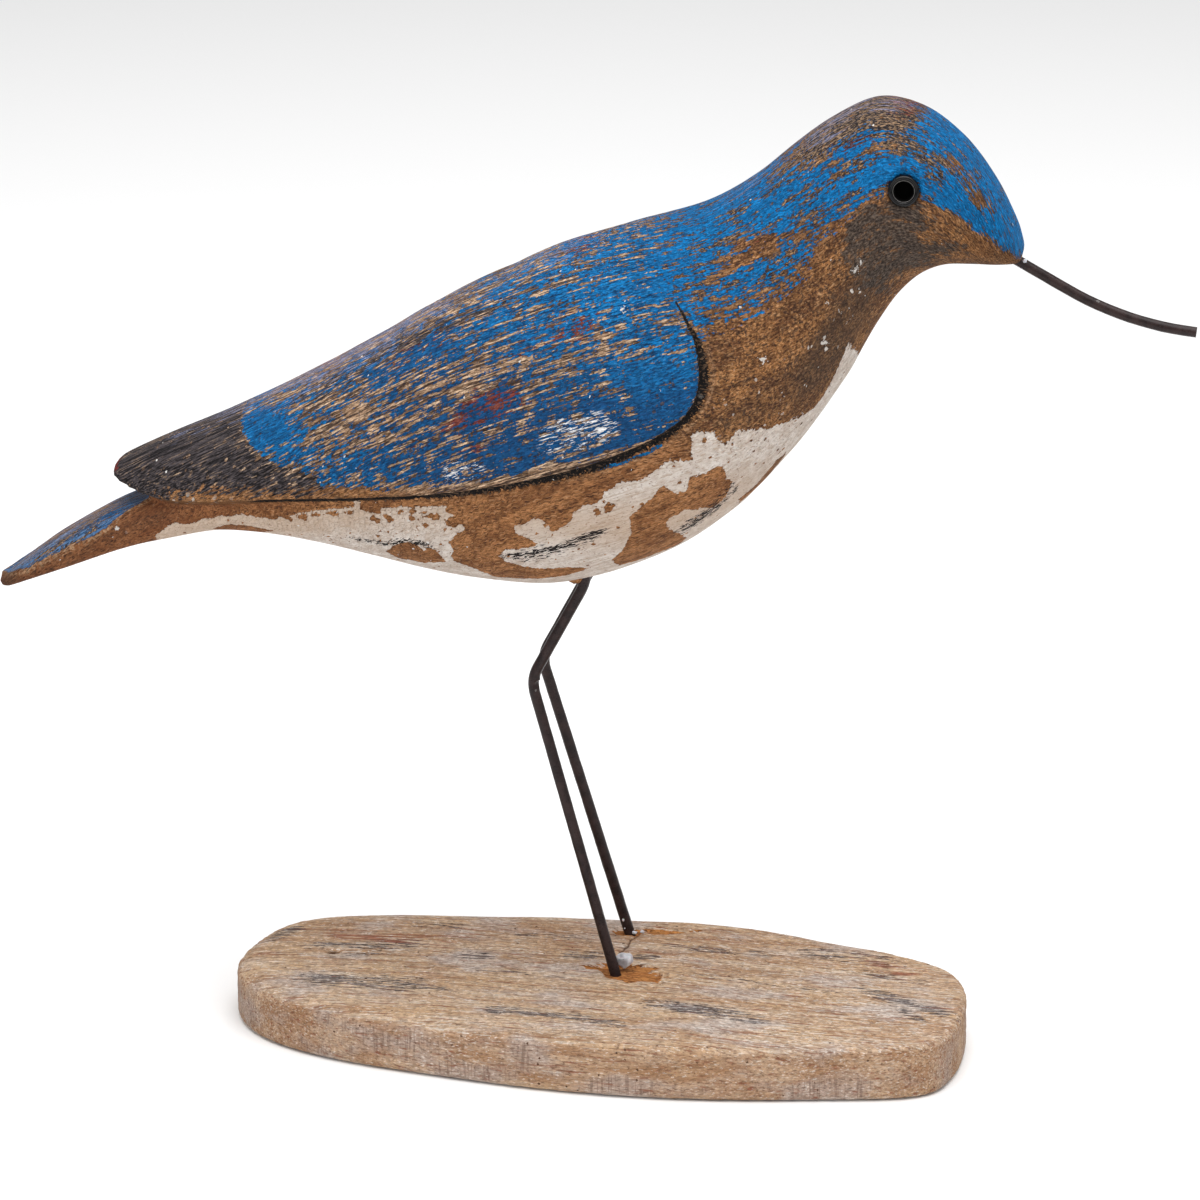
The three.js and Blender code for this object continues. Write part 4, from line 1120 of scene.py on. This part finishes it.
# Larger white chips: x, z and size in millimetres
CHIPS = [
    (7.13, 9.34, 0.9), (7.28, 9.54, 0.6), (6.37, 7.4, 0.75), (4.86, 7.07, 0.95), (5.36, 6.06, 0.45),
    (4.16, 4.67, 0.5), (6.47, 8.49, 0.45), (6.74, 8.25, 0.5), (5.92, 6.25, 0.5), (-12.69, 1.21, 0.35),
    (-12.82, 0.94, 0.3), (-3.4, 8.1, 0.5), (1.2, 8.25, 0.6), (-4.4, 2.4, 0.5),
]
chips = np.zeros(len(at))
for chip_x, chip_z, size in CHIPS:
    away = np.hypot((marked_x - chip_x) / 1.3, marked_z - chip_z) * SQUARE
    chips = np.maximum(chips, 1 - away / (1.4 * size))
# The wood is smooth and even on the belly and the tail's sides
calm = 5.4 - marked_z - 0.5 * np.clip(marked_x - 2, 0, 9)
calm = (1 - on_wing) * eased(calm, -0.5, 0.7)
# Rubbed lips, lighter with both wear and a painted highlight: the gouge's outer edge and the tail's ridge
lip = np.exp(-(((gap - half_width - 0.7) / 0.55) ** 2)) * (1 - on_wing)
lip *= eased(seen_x, -1, 2) * sideways
lip += 2.0 * np.exp(-(((inside_crest + 0.5) / 0.6) ** 2)) * tail
# Painted shade: the lower part of the wing is darker and duller, most of all towards the front, as it faces
# down and away from the light. The tail's sides are redder.
wing_shade_and_red_tail = on_wing * eased(marked_z + 0.12 * marked_x, 8.2, 5.4)
wing_shade_and_red_tail *= 0.25 + 0.85 * eased(seen_x, -7.5, -3.5)
wing_shade_and_red_tail += (1 - on_wing) * eased(-marked_x, 6.5, 11)
record(body, "coats", blue, black, white)
record(body, "marks", red, scuff, pale)
record(body, "soot", smudge, scuffed, inked)
record(body, "bare", warmth, throat, flecked)
record(body, "wing", on_wing, calm, tail * eased(inside_crest, -0.3, 0.8))
record(body, "wear_and_painted_light", lip, chips, wing_shade_and_red_tail)

# A worn coat: all of it is left where Left is 1 and none where it is 0. Between, the strokes
# decide.
coat_group, left, strokes, softness = new_group(
    "worn_coat", "Mask", Left=0.5, Strokes=0.5, Softness=0.08
)
total = left + (strokes - 0.5)
put_out(between(total, 0.5 - softness, combined("ADD", 0.5, softness)))


def worn(left, strokes, softness=0.06):
    return use_group(coat_group, Left=left, Strokes=strokes, Softness=softness)


def averaged(*weighted):
    """Several tones that are centred on a half, made into one that still is"""
    return swayed(0.5, *weighted)


painted, shader = new_material("worn_paint", Specular_IOR_Level=0.09)
place = attribute(shader, "brush")
blue_left, black_left, white_in = split(attribute(shader, "coats"))
red_part, scuff_part, sheen_part = split(attribute(shader, "marks"))
smudge_part, scuffed_part, inked_part = split(attribute(shader, "soot"))
warm_part, throat_part, fleck_part = split(attribute(shader, "bare"))
wing_part, calm_part, tail_part = split(attribute(shader, "wing"))
lip_highlight_and_wear_part, chip_part, wing_shade_and_red_tail_part = split(attribute(shader, "wear_and_painted_light"))
off_wing = 1.0 - wing_part

broad = grain(place, 26.0, 4.5, 0.0)
streak = grain(place, 12.0, 1.15, 4.0)
streak_b = grain(place, 10.0, 0.9, 17.0)
thread = grain(place, 18.0, 0.66, 31.0, 3.4)
dash = grain(place, 5.5, 0.7, 9.0, 3.4)
fine = grain(place, 2.2, 0.36, 23.0, 3.4)
hair = grain(place, 14.0, 0.42, 51.0, 3.4)
blotch = swayed(0.5, (noise_at(place, 0.33, 6.0, 0.65), 3.4))
crumb = swayed(0.5, (noise_at(place, 1.1, 4.0, 0.65), 3.4))
sand = blended(off_wing, grain(place, 1.8, 0.46, 41.0, 1.15), grain(place, 1.0, 0.5, 43.0, 1.15))
cell = grit(place, 0.75, 0.38)
small_holes = specks(place, 1.0, 0.36, 0.45) * off_wing
holes = combined("MAXIMUM", specks(place, 1.4, 0.44, 0.5), small_holes)
unholed = 1.0 - holes * 0.8

# Bare wood, with dark and pale sand in it
shaded = averaged((blotch, 0.7), (broad, 0.4))
bare = layered(
    graded(averaged((broad, 0.6), (blotch, 0.6)), 0.1, 0.9, (0.135, 0.058, 0.026), (0.37, 0.168, 0.062)),
    (averaged((crumb, 0.9), (dash, 0.4)), 0.54, 0.80, 0.82, (0.05, 0.026, 0.018)),
    (averaged((dash, 0.7), (crumb, 0.4)), 0.3, 0.05, 0.7, (0.42, 0.24, 0.12)),
    (warm_part, 0.15, 0.9, 0.55, (0.33, 0.142, 0.048)),
    (sand, 0.52, 0.62, 1.0, (0.04, 0.019, 0.012), between(shaded, 0.2, 0.8, 0.6, 0.2)),
    (sand, 0.47, 0.37, 1.0, (0.50, 0.27, 0.12), between(shaded, 0.2, 0.8, 0.2, 0.55)),
    (averaged((blotch, 0.9), (crumb, 0.4)), 0.64, 0.92, 0.7, (0.055, 0.036, 0.027)),
)
even = layered(
    graded(
        averaged((broad, 0.7), (blotch, 0.5), (streak, 0.3)), 0.1, 0.9,
        (0.21, 0.086, 0.034), (0.41, 0.186, 0.075),
    ),
    (averaged((fine, 0.8), (dash, 0.5)), 0.68, 1.0, 0.7, (0.08, 0.036, 0.02)),
    (averaged((fine, 0.8), (thread, 0.5)), 0.3, 0.0, 0.6, (0.48, 0.27, 0.14)),
    (sand, 0.6, 0.68, 0.6, (0.09, 0.04, 0.02)),
)
bare = blended(calm_part * 0.85, bare, even)
bare = blended(wing_shade_and_red_tail_part * off_wing * 0.6, bare, (0.165, 0.052, 0.021))
# Painted highlight and rubbed wear: a lighter tan along the gouge's outer lip and the tail's ridge
bare = layered(
    bare,
    (averaged((crumb, 0.7), (blotch, 0.5)), 0.7, 0.2, 0.85, (0.40, 0.235, 0.13), lip_highlight_and_wear_part),
    (fine, 0.6, 0.95, 0.75, (0.055, 0.026, 0.016)),
    (throat_part, 0.1, 0.9, 0.6, (0.055, 0.04, 0.031)),
)
# The wood that shows through the wings' coat is tan, and through the head's dark and sandy
tan = layered(
    graded(streak_b, 0.25, 0.8, (0.19, 0.112, 0.066), (0.46, 0.30, 0.19)),
    (dash, 0.34, 0.1, 0.9, (0.62, 0.44, 0.30)),
    (thread, 0.52, 0.68, 0.92, (0.034, 0.024, 0.022)),
    (fine, 0.66, 0.9, 0.85, (0.045, 0.028, 0.022)),
    (sand, 0.56, 0.66, 0.6, (0.05, 0.03, 0.022)),
    (warm_part, 0.3, 0.9, 0.85, bare),
)
colour = blended(wing_part * 0.92 + tail_part * 0.8, bare, tan)
sandy = graded(sand, 0.49, 0.58, (0.022, 0.018, 0.019), (0.46, 0.29, 0.16))
colour = layered(colour, (blue_left, 0.3, 0.62, 0.75, sandy, off_wing))
# Black, then red, then blue. The black coat also shows round the worn places in the blue, and this dark rim
# is partly a painted shadow along the chipped paint's edges.
rubbed_wing = averaged((streak_b, 0.35), (thread, 0.4), (dash, 0.35))
rubbed = blended(wing_part, averaged((sand, 1.6), (crumb, 0.4)), rubbed_wing)
black_mask = worn(black_left * 1.08, rubbed) * unholed
soot_colour = layered(
    graded(hair, 0.3, 0.8, (0.068, 0.057, 0.06), (0.014, 0.012, 0.013)),
    (hair, 0.16, 0.02, 0.8, (0.22, 0.15, 0.10)),
)
soot_colour = blended(off_wing * 0.5, soot_colour, sandy)
colour = blended(black_mask, colour, soot_colour)
red_strokes = averaged((streak_b, 0.4), (dash, 0.4), (blotch, 0.3), (fine, 0.4))
red_mask = worn(red_part * 0.8, red_strokes)
colour = layered(colour, (red_part, 0.1, 0.3, 0.88, (0.16, 0.026, 0.024), red_mask))
strokes = averaged((streak, 0.55), (dash, 0.4), (thread, 0.25), (blotch, 0.5), (broad, 0.2))
strokes = blended(tail_part, strokes, averaged((hair, 0.9), (thread, 0.6), (dash, 0.35)))
crumbly = (crumb - 0.5) * 0.36 * (off_wing * 0.1 + 0.9)
strokes = swayed(strokes + crumbly, (cell, 0.12))
blue_mask = worn(blue_left, strokes, 0.05) * between(blue_left, 0.0, 0.15) * unholed
# Black undercoat and painted shadow: a dark rim round the blue where it is worn
undercoat_and_shadow_mask = worn(off_wing * 0.12 + (blue_left + 0.06), strokes, 0.05)
under = graded(fine, 0.3, 0.8, (0.06, 0.05, 0.052), (0.022, 0.019, 0.022))
colour = layered(colour, (blue_left, 0.15, 0.42, 0.85, under, undercoat_and_shadow_mask))
blue_paint = layered(
    graded(averaged((broad, 0.7), (streak_b, 0.4)), 0.2, 0.9, (0.001, 0.136, 0.365), (0.001, 0.086, 0.245)),
    (dash, 0.68, 0.95, 0.8, (0.003, 0.028, 0.085)),
    (fine, 0.25, 0.0, 0.6, (0.02, 0.20, 0.45)),
    (sand, 0.54, 0.66, 0.75, (0.006, 0.026, 0.07)),
    (sand, 0.44, 0.34, 0.5, (0.03, 0.24, 0.52)),
)
blue_paint = blended(off_wing * 0.3, blue_paint, (0.002, 0.19, 0.50))
# Painted shade: the blue darkens on the lower wing
blue_paint = blended(wing_shade_and_red_tail_part * 0.7, blue_paint, (0.007, 0.042, 0.125))
faded = tail_part * between(averaged((thread, 0.8), (dash, 0.5)), 0.2, 0.8, 0.1, 0.9)
blue_paint = blended(faded, blue_paint, (0.12, 0.21, 0.37))
colour = blended(blue_mask, colour, blue_paint)
# A painted pale lavender sheen on the upper back and the tail, and the white scuffs
sheen_strokes = worn(sheen_part * 0.6, averaged((dash, 0.5), (thread, 0.6), (hair, 0.7)))
scuff_mask = worn(scuff_part * 0.49, averaged((dash, 0.7), (fine, 0.8), (streak, 0.2)), 0.03)
colour = layered(
    colour,
    (sheen_part, 0.05, 0.3, 0.7, (0.24, 0.25, 0.37), sheen_strokes),
    (scuff_part, 0.1, 0.3, 1.0, (0.66, 0.65, 0.65), scuff_mask),
)
# The smudge on the cheek and throat
sooty = averaged((smudge_part, 0.95), (blotch, -0.75), (streak, -0.5), (dash, -0.4), (sand, -0.5))
soot_dust = graded(sand, 0.4, 0.6, (0.095, 0.074, 0.06), (0.034, 0.027, 0.024))
in_smudge = between(smudge_part, 0.0, 0.15, 0.0, 0.92)
colour = layered(colour, (sooty, 0.3, 0.85, 1.0, soot_dust, in_smudge))
# White on the belly, flaked off in steps
flake = swayed(white_in, (blotch, 0.6), (crumb, 0.45))
small_flaws = specks(place, 0.95, 0.3, 0.3) * between(blotch, 0.3, 0.8, 0.0, 0.7)
flaws = combined("MAXIMUM", specks(place, 1.9, 0.34, 0.5), small_flaws)
white_mask = between(flake, -0.03, 0.08) * (1.0 - flaws)
cream = layered(
    graded(averaged((blotch, 0.6), (broad, 0.4)), 0.1, 0.9, (0.55, 0.455, 0.385), (0.73, 0.665, 0.61)),
    (averaged((crumb, 0.6), (fine, 0.5)), 0.7, 1.05, 0.6, (0.34, 0.235, 0.18)),
    (fine, 0.25, 0.0, 0.5, (0.72, 0.65, 0.58)),
    (flake, 0.5, 0.0, 0.35, (0.75, 0.69, 0.635)),
    (warm_part, 0.1, 0.8, 0.7, (0.54, 0.385, 0.27)),
    (sand, 0.62, 0.7, 0.7, (0.22, 0.13, 0.085)),
    (averaged((thread, 0.9), (fine, 0.4)), 0.62, 0.9, 0.55, (0.42, 0.30, 0.215)),
)
colour = blended(white_mask, colour, cream)
scraped = worn(scuffed_part * 0.72, averaged((thread, 0.6), (dash, 0.6), (fine, 0.9)), 0.05)
colour = layered(colour, (scuffed_part, 0.1, 0.3, 1.0, (0.018, 0.015, 0.015), scraped))
# Grit in wood and paint alike, less of it in the white
grit_strength = white_mask * -0.62 + (calm_part * -0.2 + 0.85)
colour = blended(1.0, colour, swayed(1.0, (cell, grit_strength)), "MULTIPLY")
# Ink in the gouge, then white chips and dust
ink_edge = swayed(inked_part, (crumb, 0.5), (sand, 1.2)) * between(inked_part, -0.4, -0.1)
ink = layered(
    (0.010, 0.009, 0.009), (averaged((crumb, 0.5), (sand, 1.4)), 0.60, 0.74, 0.8, (0.13, 0.08, 0.05))
)
colour = layered(
    colour,
    (ink_edge, 0.16, 0.28, 1.0, ink),
    (fleck_part, 0.08, 0.5, 1.0, (0.62, 0.57, 0.52), specks(place, 1.7, 0.42, fleck_part)),
    (swayed(chip_part, (crumb, 0.8)), 0.45, 0.55, 1.0, (0.62, 0.58, 0.54),
     between(chip_part, 0.0, 0.1)),
)
colour = blended(specks(place, 3.5, 0.10, 0.6), colour, (0.70, 0.68, 0.66))

# Paint is smoother than bare wood, and stands out of it by its own thickness
height = blue_mask * 0.5 + white_mask * 1.2
for tone, weight in [(dash, -0.5), (thread, -0.5), (streak, -0.4), (crumb, 0.5), (fine, -0.5)]:
    height = combined("MULTIPLY_ADD", tone, weight, height)
height = height + sand * (off_wing * -0.8 - 0.8)
wired(
    shader,
    Base_Color=colour,
    Roughness=white_mask * -0.12 + between(blue_mask, 0.0, 1.0, 0.8, 0.55),
    Normal=bumped(height, 0.9, 0.3),
)
finish_with(body, painted, "carved_body")


# The eyes: two small metal cups with a rolled rim, enamelled black. Each is pressed into a
# socket drilled in the side of the head, and stands out of it by the height of its rim.
CUP_RADIUS, CUP_DEPTH, CUP_SIDES = 2.9, 3.8, 56
rim_radius = (EYE_DIAMETER / 2 - CUP_RADIUS) / 2
# The section of a cup: how far out from its middle, and how far up from the head's surface
outside = [
    (0.01, EYE_PROUD - EYE_LENGTH),
    (EYE_DIAMETER / 2 - 0.3, EYE_PROUD - EYE_LENGTH),
    (EYE_DIAMETER / 2, EYE_PROUD - EYE_LENGTH + 0.3),
]
ring = [
    (CUP_RADIUS + rim_radius * (1 + cos(turn)), EYE_PROUD - rim_radius * (1 - sin(turn)))
    for turn in np.linspace(0, pi * 0.85, 12)
]
# The cup's own thin edge stands up inside the rounded ring
thin_edge = [
    (CUP_RADIUS, EYE_PROUD - 0.38), (CUP_RADIUS - 0.04, EYE_PROUD - 0.2),
    (CUP_RADIUS - 0.12, EYE_PROUD - 0.12), (CUP_RADIUS - 0.2, EYE_PROUD - 0.2),
]
inside = [
    (2.55, EYE_PROUD - 0.6), (2.4, EYE_PROUD - 1.6), (2.3, EYE_PROUD - CUP_DEPTH + 0.3),
    (2.1, EYE_PROUD - CUP_DEPTH), (0.01, EYE_PROUD - CUP_DEPTH),
]
profile = np.array(outside + ring + thin_edge + inside)

enamel, shader = new_material(
    "black_enamel", Specular_IOR_Level=0.2, Coat_Weight=0.1, Coat_Roughness=0.05
)
place = in_millimetres(shader)
haze = noise_at(place, 0.9, 4.0)
gloss = graded(haze, 0.45, 0.75, (0.003, 0.003, 0.0035), (0.010, 0.009, 0.009))
# Painted highlight: the cup's thin edge is coloured light grey, as the glint round the inside of the rim
gloss = blended(attribute(shader, "thin_edge", "Fac"), gloss, (0.12, 0.115, 0.11))
wired(
    shader,
    Base_Color=blended(specks(place, 0.9, 0.16, 0.25), gloss, (0.08, 0.075, 0.07)),
    Roughness=between(haze, 0.35, 0.7, 0.12, 0.3),
)
hollow, shader = new_material("cup_inside", Roughness=0.9, Specular_IOR_Level=0.05)
lint = specks(in_millimetres(shader), 0.8, 0.2, 0.2)
wired(shader, Base_Color=blended(lint, (0.0016, 0.0014, 0.0014), (0.02, 0.018, 0.016)))

for side, name, stands_for in [(-1, "eye_cup_right", "eye_right"), (1, "eye_cup_left", "eye_left")]:
    bpy.ops.object.select_all(action="DESELECT")
    bpy.ops.mesh.primitive_circle_add(vertices=len(profile), radius=1, fill_type="NOTHING")
    cup = new_piece(name)
    set_points(cup, np.insert(profile, 1, 0, axis=1))
    # The circle's last edge goes, and the open line that is left is spun round
    closing = {0, len(profile) - 1}
    choose(cup, "EDGE", [set(edge.vertices) == closing for edge in cup.data.edges])
    bpy.ops.mesh.delete(type="EDGE")
    bpy.ops.mesh.select_all(action="SELECT")
    bpy.ops.mesh.spin(steps=CUP_SIDES, angle=2 * pi, center=(0, 0, 0), axis=(0, 0, 1))
    bpy.ops.mesh.select_all(action="SELECT")
    bpy.ops.mesh.remove_doubles(threshold=0.02 * MM)
    bpy.ops.mesh.normals_make_consistent(inside=False)
    bpy.ops.object.mode_set(mode="OBJECT")
    shape = points_of(cup)
    across = np.hypot(shape[:, 0], shape[:, 1])
    # The thin edge, where the painted highlight goes
    on_edge = (np.abs(across - CUP_RADIUS + 0.11) < 0.1) & (shape[:, 2] > EYE_PROUD - 0.3)
    record(cup, "thin_edge", on_edge)
    finish_with(cup, enamel, stands_for)
    cup.data.materials.append(hollow)
    for face in cup.data.polygons:
        wide, up = face.center.xy.length / MM, face.center.z / MM
        sunk_in = EYE_PROUD - CUP_DEPTH - 0.1 < up < EYE_PROUD - 0.4
        face.material_index = int(sunk_in and wide < CUP_RADIUS - 0.2)
    middle, out = eye_place(side)
    turn = Vector(out).to_track_quat("Z", "Y").to_matrix().to_4x4()
    cup.data.transform(Matrix.Translation(Vector(middle * MM)) @ turn)
    alone(cup)
    bpy.ops.object.shade_smooth_by_angle(angle=radians(40))


# The bill: one length of the legs' browned wire, a little thinner. It is stuck in the head where
# the head's front meets its underside, and bent down by hand.
BILL_WIRE = 2.8
BILL_STRAIGHT, BILL_BEND, BILL_IN_HEAD = 14.0, 18.1, 10.0
ROOT_DIP, TIP_DIP = radians(29), radians(5)
root = HIP + [TRUNK[-1][2] * SQUARE, 0, TRUNK[-1][3] * SQUARE]
leaving = np.array([cos(ROOT_DIP), 0, -sin(ROOT_DIP)])
arriving = np.array([cos(TIP_DIP), 0, -sin(TIP_DIP)])
bend_at = root + leaving * (BILL_STRAIGHT + BILL_BEND)
bill_corners = [root - leaving * BILL_IN_HEAD, bend_at, bend_at + arriving * BILL_BEND]
bill = wire_piece("bill", wire_route(bill_corners, BILL_BEND), BILL_WIRE)
finish_with(bill, browned, "bill_wire")


# The glue: a dried drop beside the right foot, squeezed out when the leg was stuck in the slab,
# with crumbs of it on the left leg, beside the left foot and where the bill leaves the head.
GLUE_DROP, GLUE_ROOM = 3.6, 0.3
aside = towards(np.zeros(3), [1, 1, 0], (LEG_WIRE + GLUE_DROP) / 2 + GLUE_ROOM)
drop_at = HIP + [FOOT_AHEAD, -FOOT_SPREAD / 2, -LEG_HEIGHT] + aside + [0, 0, GLUE_DROP / 2]
left_way = leg_route(1)
left_shin, left_foot = (left_way[np.argmin(np.abs(left_way[:, 2] - z))] for z in (19, 15))
# Each lump: its middle, its three half sizes and how knobbly it is
LUMPS = [
    (drop_at + [-0.4, 0.6, 0.3], (2.5, 1.7, 2.1), 0.2),
    (left_shin + [-0.3, -1.45, 0], (0.28, 0.2, 0.55), 0.15),
    (left_shin + [0.1, -1.45, -2.4], (0.22, 0.15, 0.22), 0.1),
    (left_foot + [1.9, -1.0, -0.3], (0.9, 0.5, 0.4), 0.3),
    (left_foot + [4.0, -0.3, -0.3], (0.8, 0.4, 0.4), 0.3),
    (root + [1.2, -0.9, 0.45], (0.6, 0.45, 0.55), 0.2),
    (root + [0.5, -0.5, -1.3], (0.5, 0.5, 0.4), 0.15),
]
BROKEN_FACES = 10
lumps = []
chooser = np.random.default_rng(5)
for middle, sizes, knobs in LUMPS:
    bpy.ops.object.select_all(action="DESELECT")
    bpy.ops.mesh.primitive_ico_sphere_add(subdivisions=5 if sizes[0] > 2 else 3, radius=MM)
    lump = new_piece("glue_lump")
    ball = points_of(lump)
    # Boxy, like a broken lump
    shape = np.sign(ball) * np.abs(ball) ** 0.75 * sizes
    for way in chooser.normal(size=(BROKEN_FACES, 3)):
        way = way / np.linalg.norm(way)
        reach = shape @ way
        shape -= np.clip(reach - 0.76 * reach.max(), 0, None)[:, None] * way
    flats = np.clip(rough(ball * sizes, (1.7, 1.7, 1.7), 2, middle[0]), -0.7, 0.7)
    set_points(lump, shape + ball * knobs * flats[:, None] + middle)
    lumps.append(lump)
glue = joined_up("dried_glue", lumps)
bpy.ops.object.shade_smooth()
glue_finish, shader = new_material(
    "dried_glue", Subsurface_Weight=0.15, Subsurface_Scale=0.5 * MM
)
place = in_millimetres(shader)
mottle = noise_at(place, 0.8, 4.0)
milky = graded(mottle, 0.35, 0.7, (0.40, 0.40, 0.43), (0.62, 0.62, 0.65))
wired(
    shader,
    Base_Color=blended(specks(place, 0.9, 0.16, 0.3), milky, (0.25, 0.20, 0.17)),
    Roughness=between(mottle, 0.3, 0.7, 0.4, 0.65),
    Normal=bumped(mottle, 0.5, 0.15),
)
finish_with(glue, glue_finish, "glue_drop")


# The studio: a plain pale floor just under the slab, soft light from above and from both sides
# of the front, and the photograph's camera.
FLOOR_SIZE, FLOOR_LEVEL = 12, -0.0003
bpy.ops.object.select_all(action="DESELECT")
bpy.ops.mesh.primitive_plane_add(size=FLOOR_SIZE, location=(0, 0, FLOOR_LEVEL))
floor = bpy.context.object
floor.name = "floor"
paper, shader = new_material("white_paper", Roughness=0.9)
shader.inputs["Base Color"].default_value = (0.93, 0.93, 0.93, 1)
floor.data.materials.append(paper)
floor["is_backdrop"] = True

world = bpy.data.worlds.new("studio")
bpy.context.scene.world = world
world.use_nodes = True
world.node_tree.nodes["Background"].inputs["Color"].default_value = (1, 1, 1, 1)
world.node_tree.nodes["Background"].inputs["Strength"].default_value = 0.45


def softbox(name, place, aim, size, power):
    lamp = bpy.data.lights.new(name, "AREA")
    lamp.size = size
    lamp.energy = power
    holder = bpy.data.objects.new(name, lamp)
    holder.location = place
    holder.rotation_euler = (Vector(aim) - Vector(place)).to_track_quat("-Z", "Y").to_euler()
    bpy.context.collection.objects.link(holder)


softbox("overhead", (0.1, -0.1, 1.5), aim=(0, 0, 0.1), size=1.6, power=30)
softbox("front_left", (-0.9, -1.3, 0.9), aim=(0, 0, 0.12), size=1.0, power=5)
softbox("front_right", (1.1, -1.1, 0.8), aim=(0, 0, 0.12), size=0.9, power=3.2)

AZIMUTH, ELEVATION = radians(8), radians(18.5)
TARGET = Vector((-1.9, 15.6, 117.0)) * MM
DISTANCE = 1.5
FRAME_WIDTH, SENSOR_WIDTH = 0.32, 36.0
backwards = Vector((sin(AZIMUTH) * cos(ELEVATION), -cos(AZIMUTH) * cos(ELEVATION), sin(ELEVATION)))
lens = bpy.data.cameras.new("camera")
lens.sensor_width = SENSOR_WIDTH
lens.lens = SENSOR_WIDTH * DISTANCE / FRAME_WIDTH
camera = bpy.data.objects.new("camera", lens)
camera.location = TARGET + backwards * DISTANCE
camera.rotation_euler = (-backwards).to_track_quat("-Z", "Y").to_euler()
bpy.context.collection.objects.link(camera)
bpy.context.scene.camera = camera
bpy.context.scene.view_settings.view_transform = "Standard"

visual_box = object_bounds()
sizes = {"cad": [list(corner) for corner in cad_box], "visual": [list(corner) for corner in visual_box]}
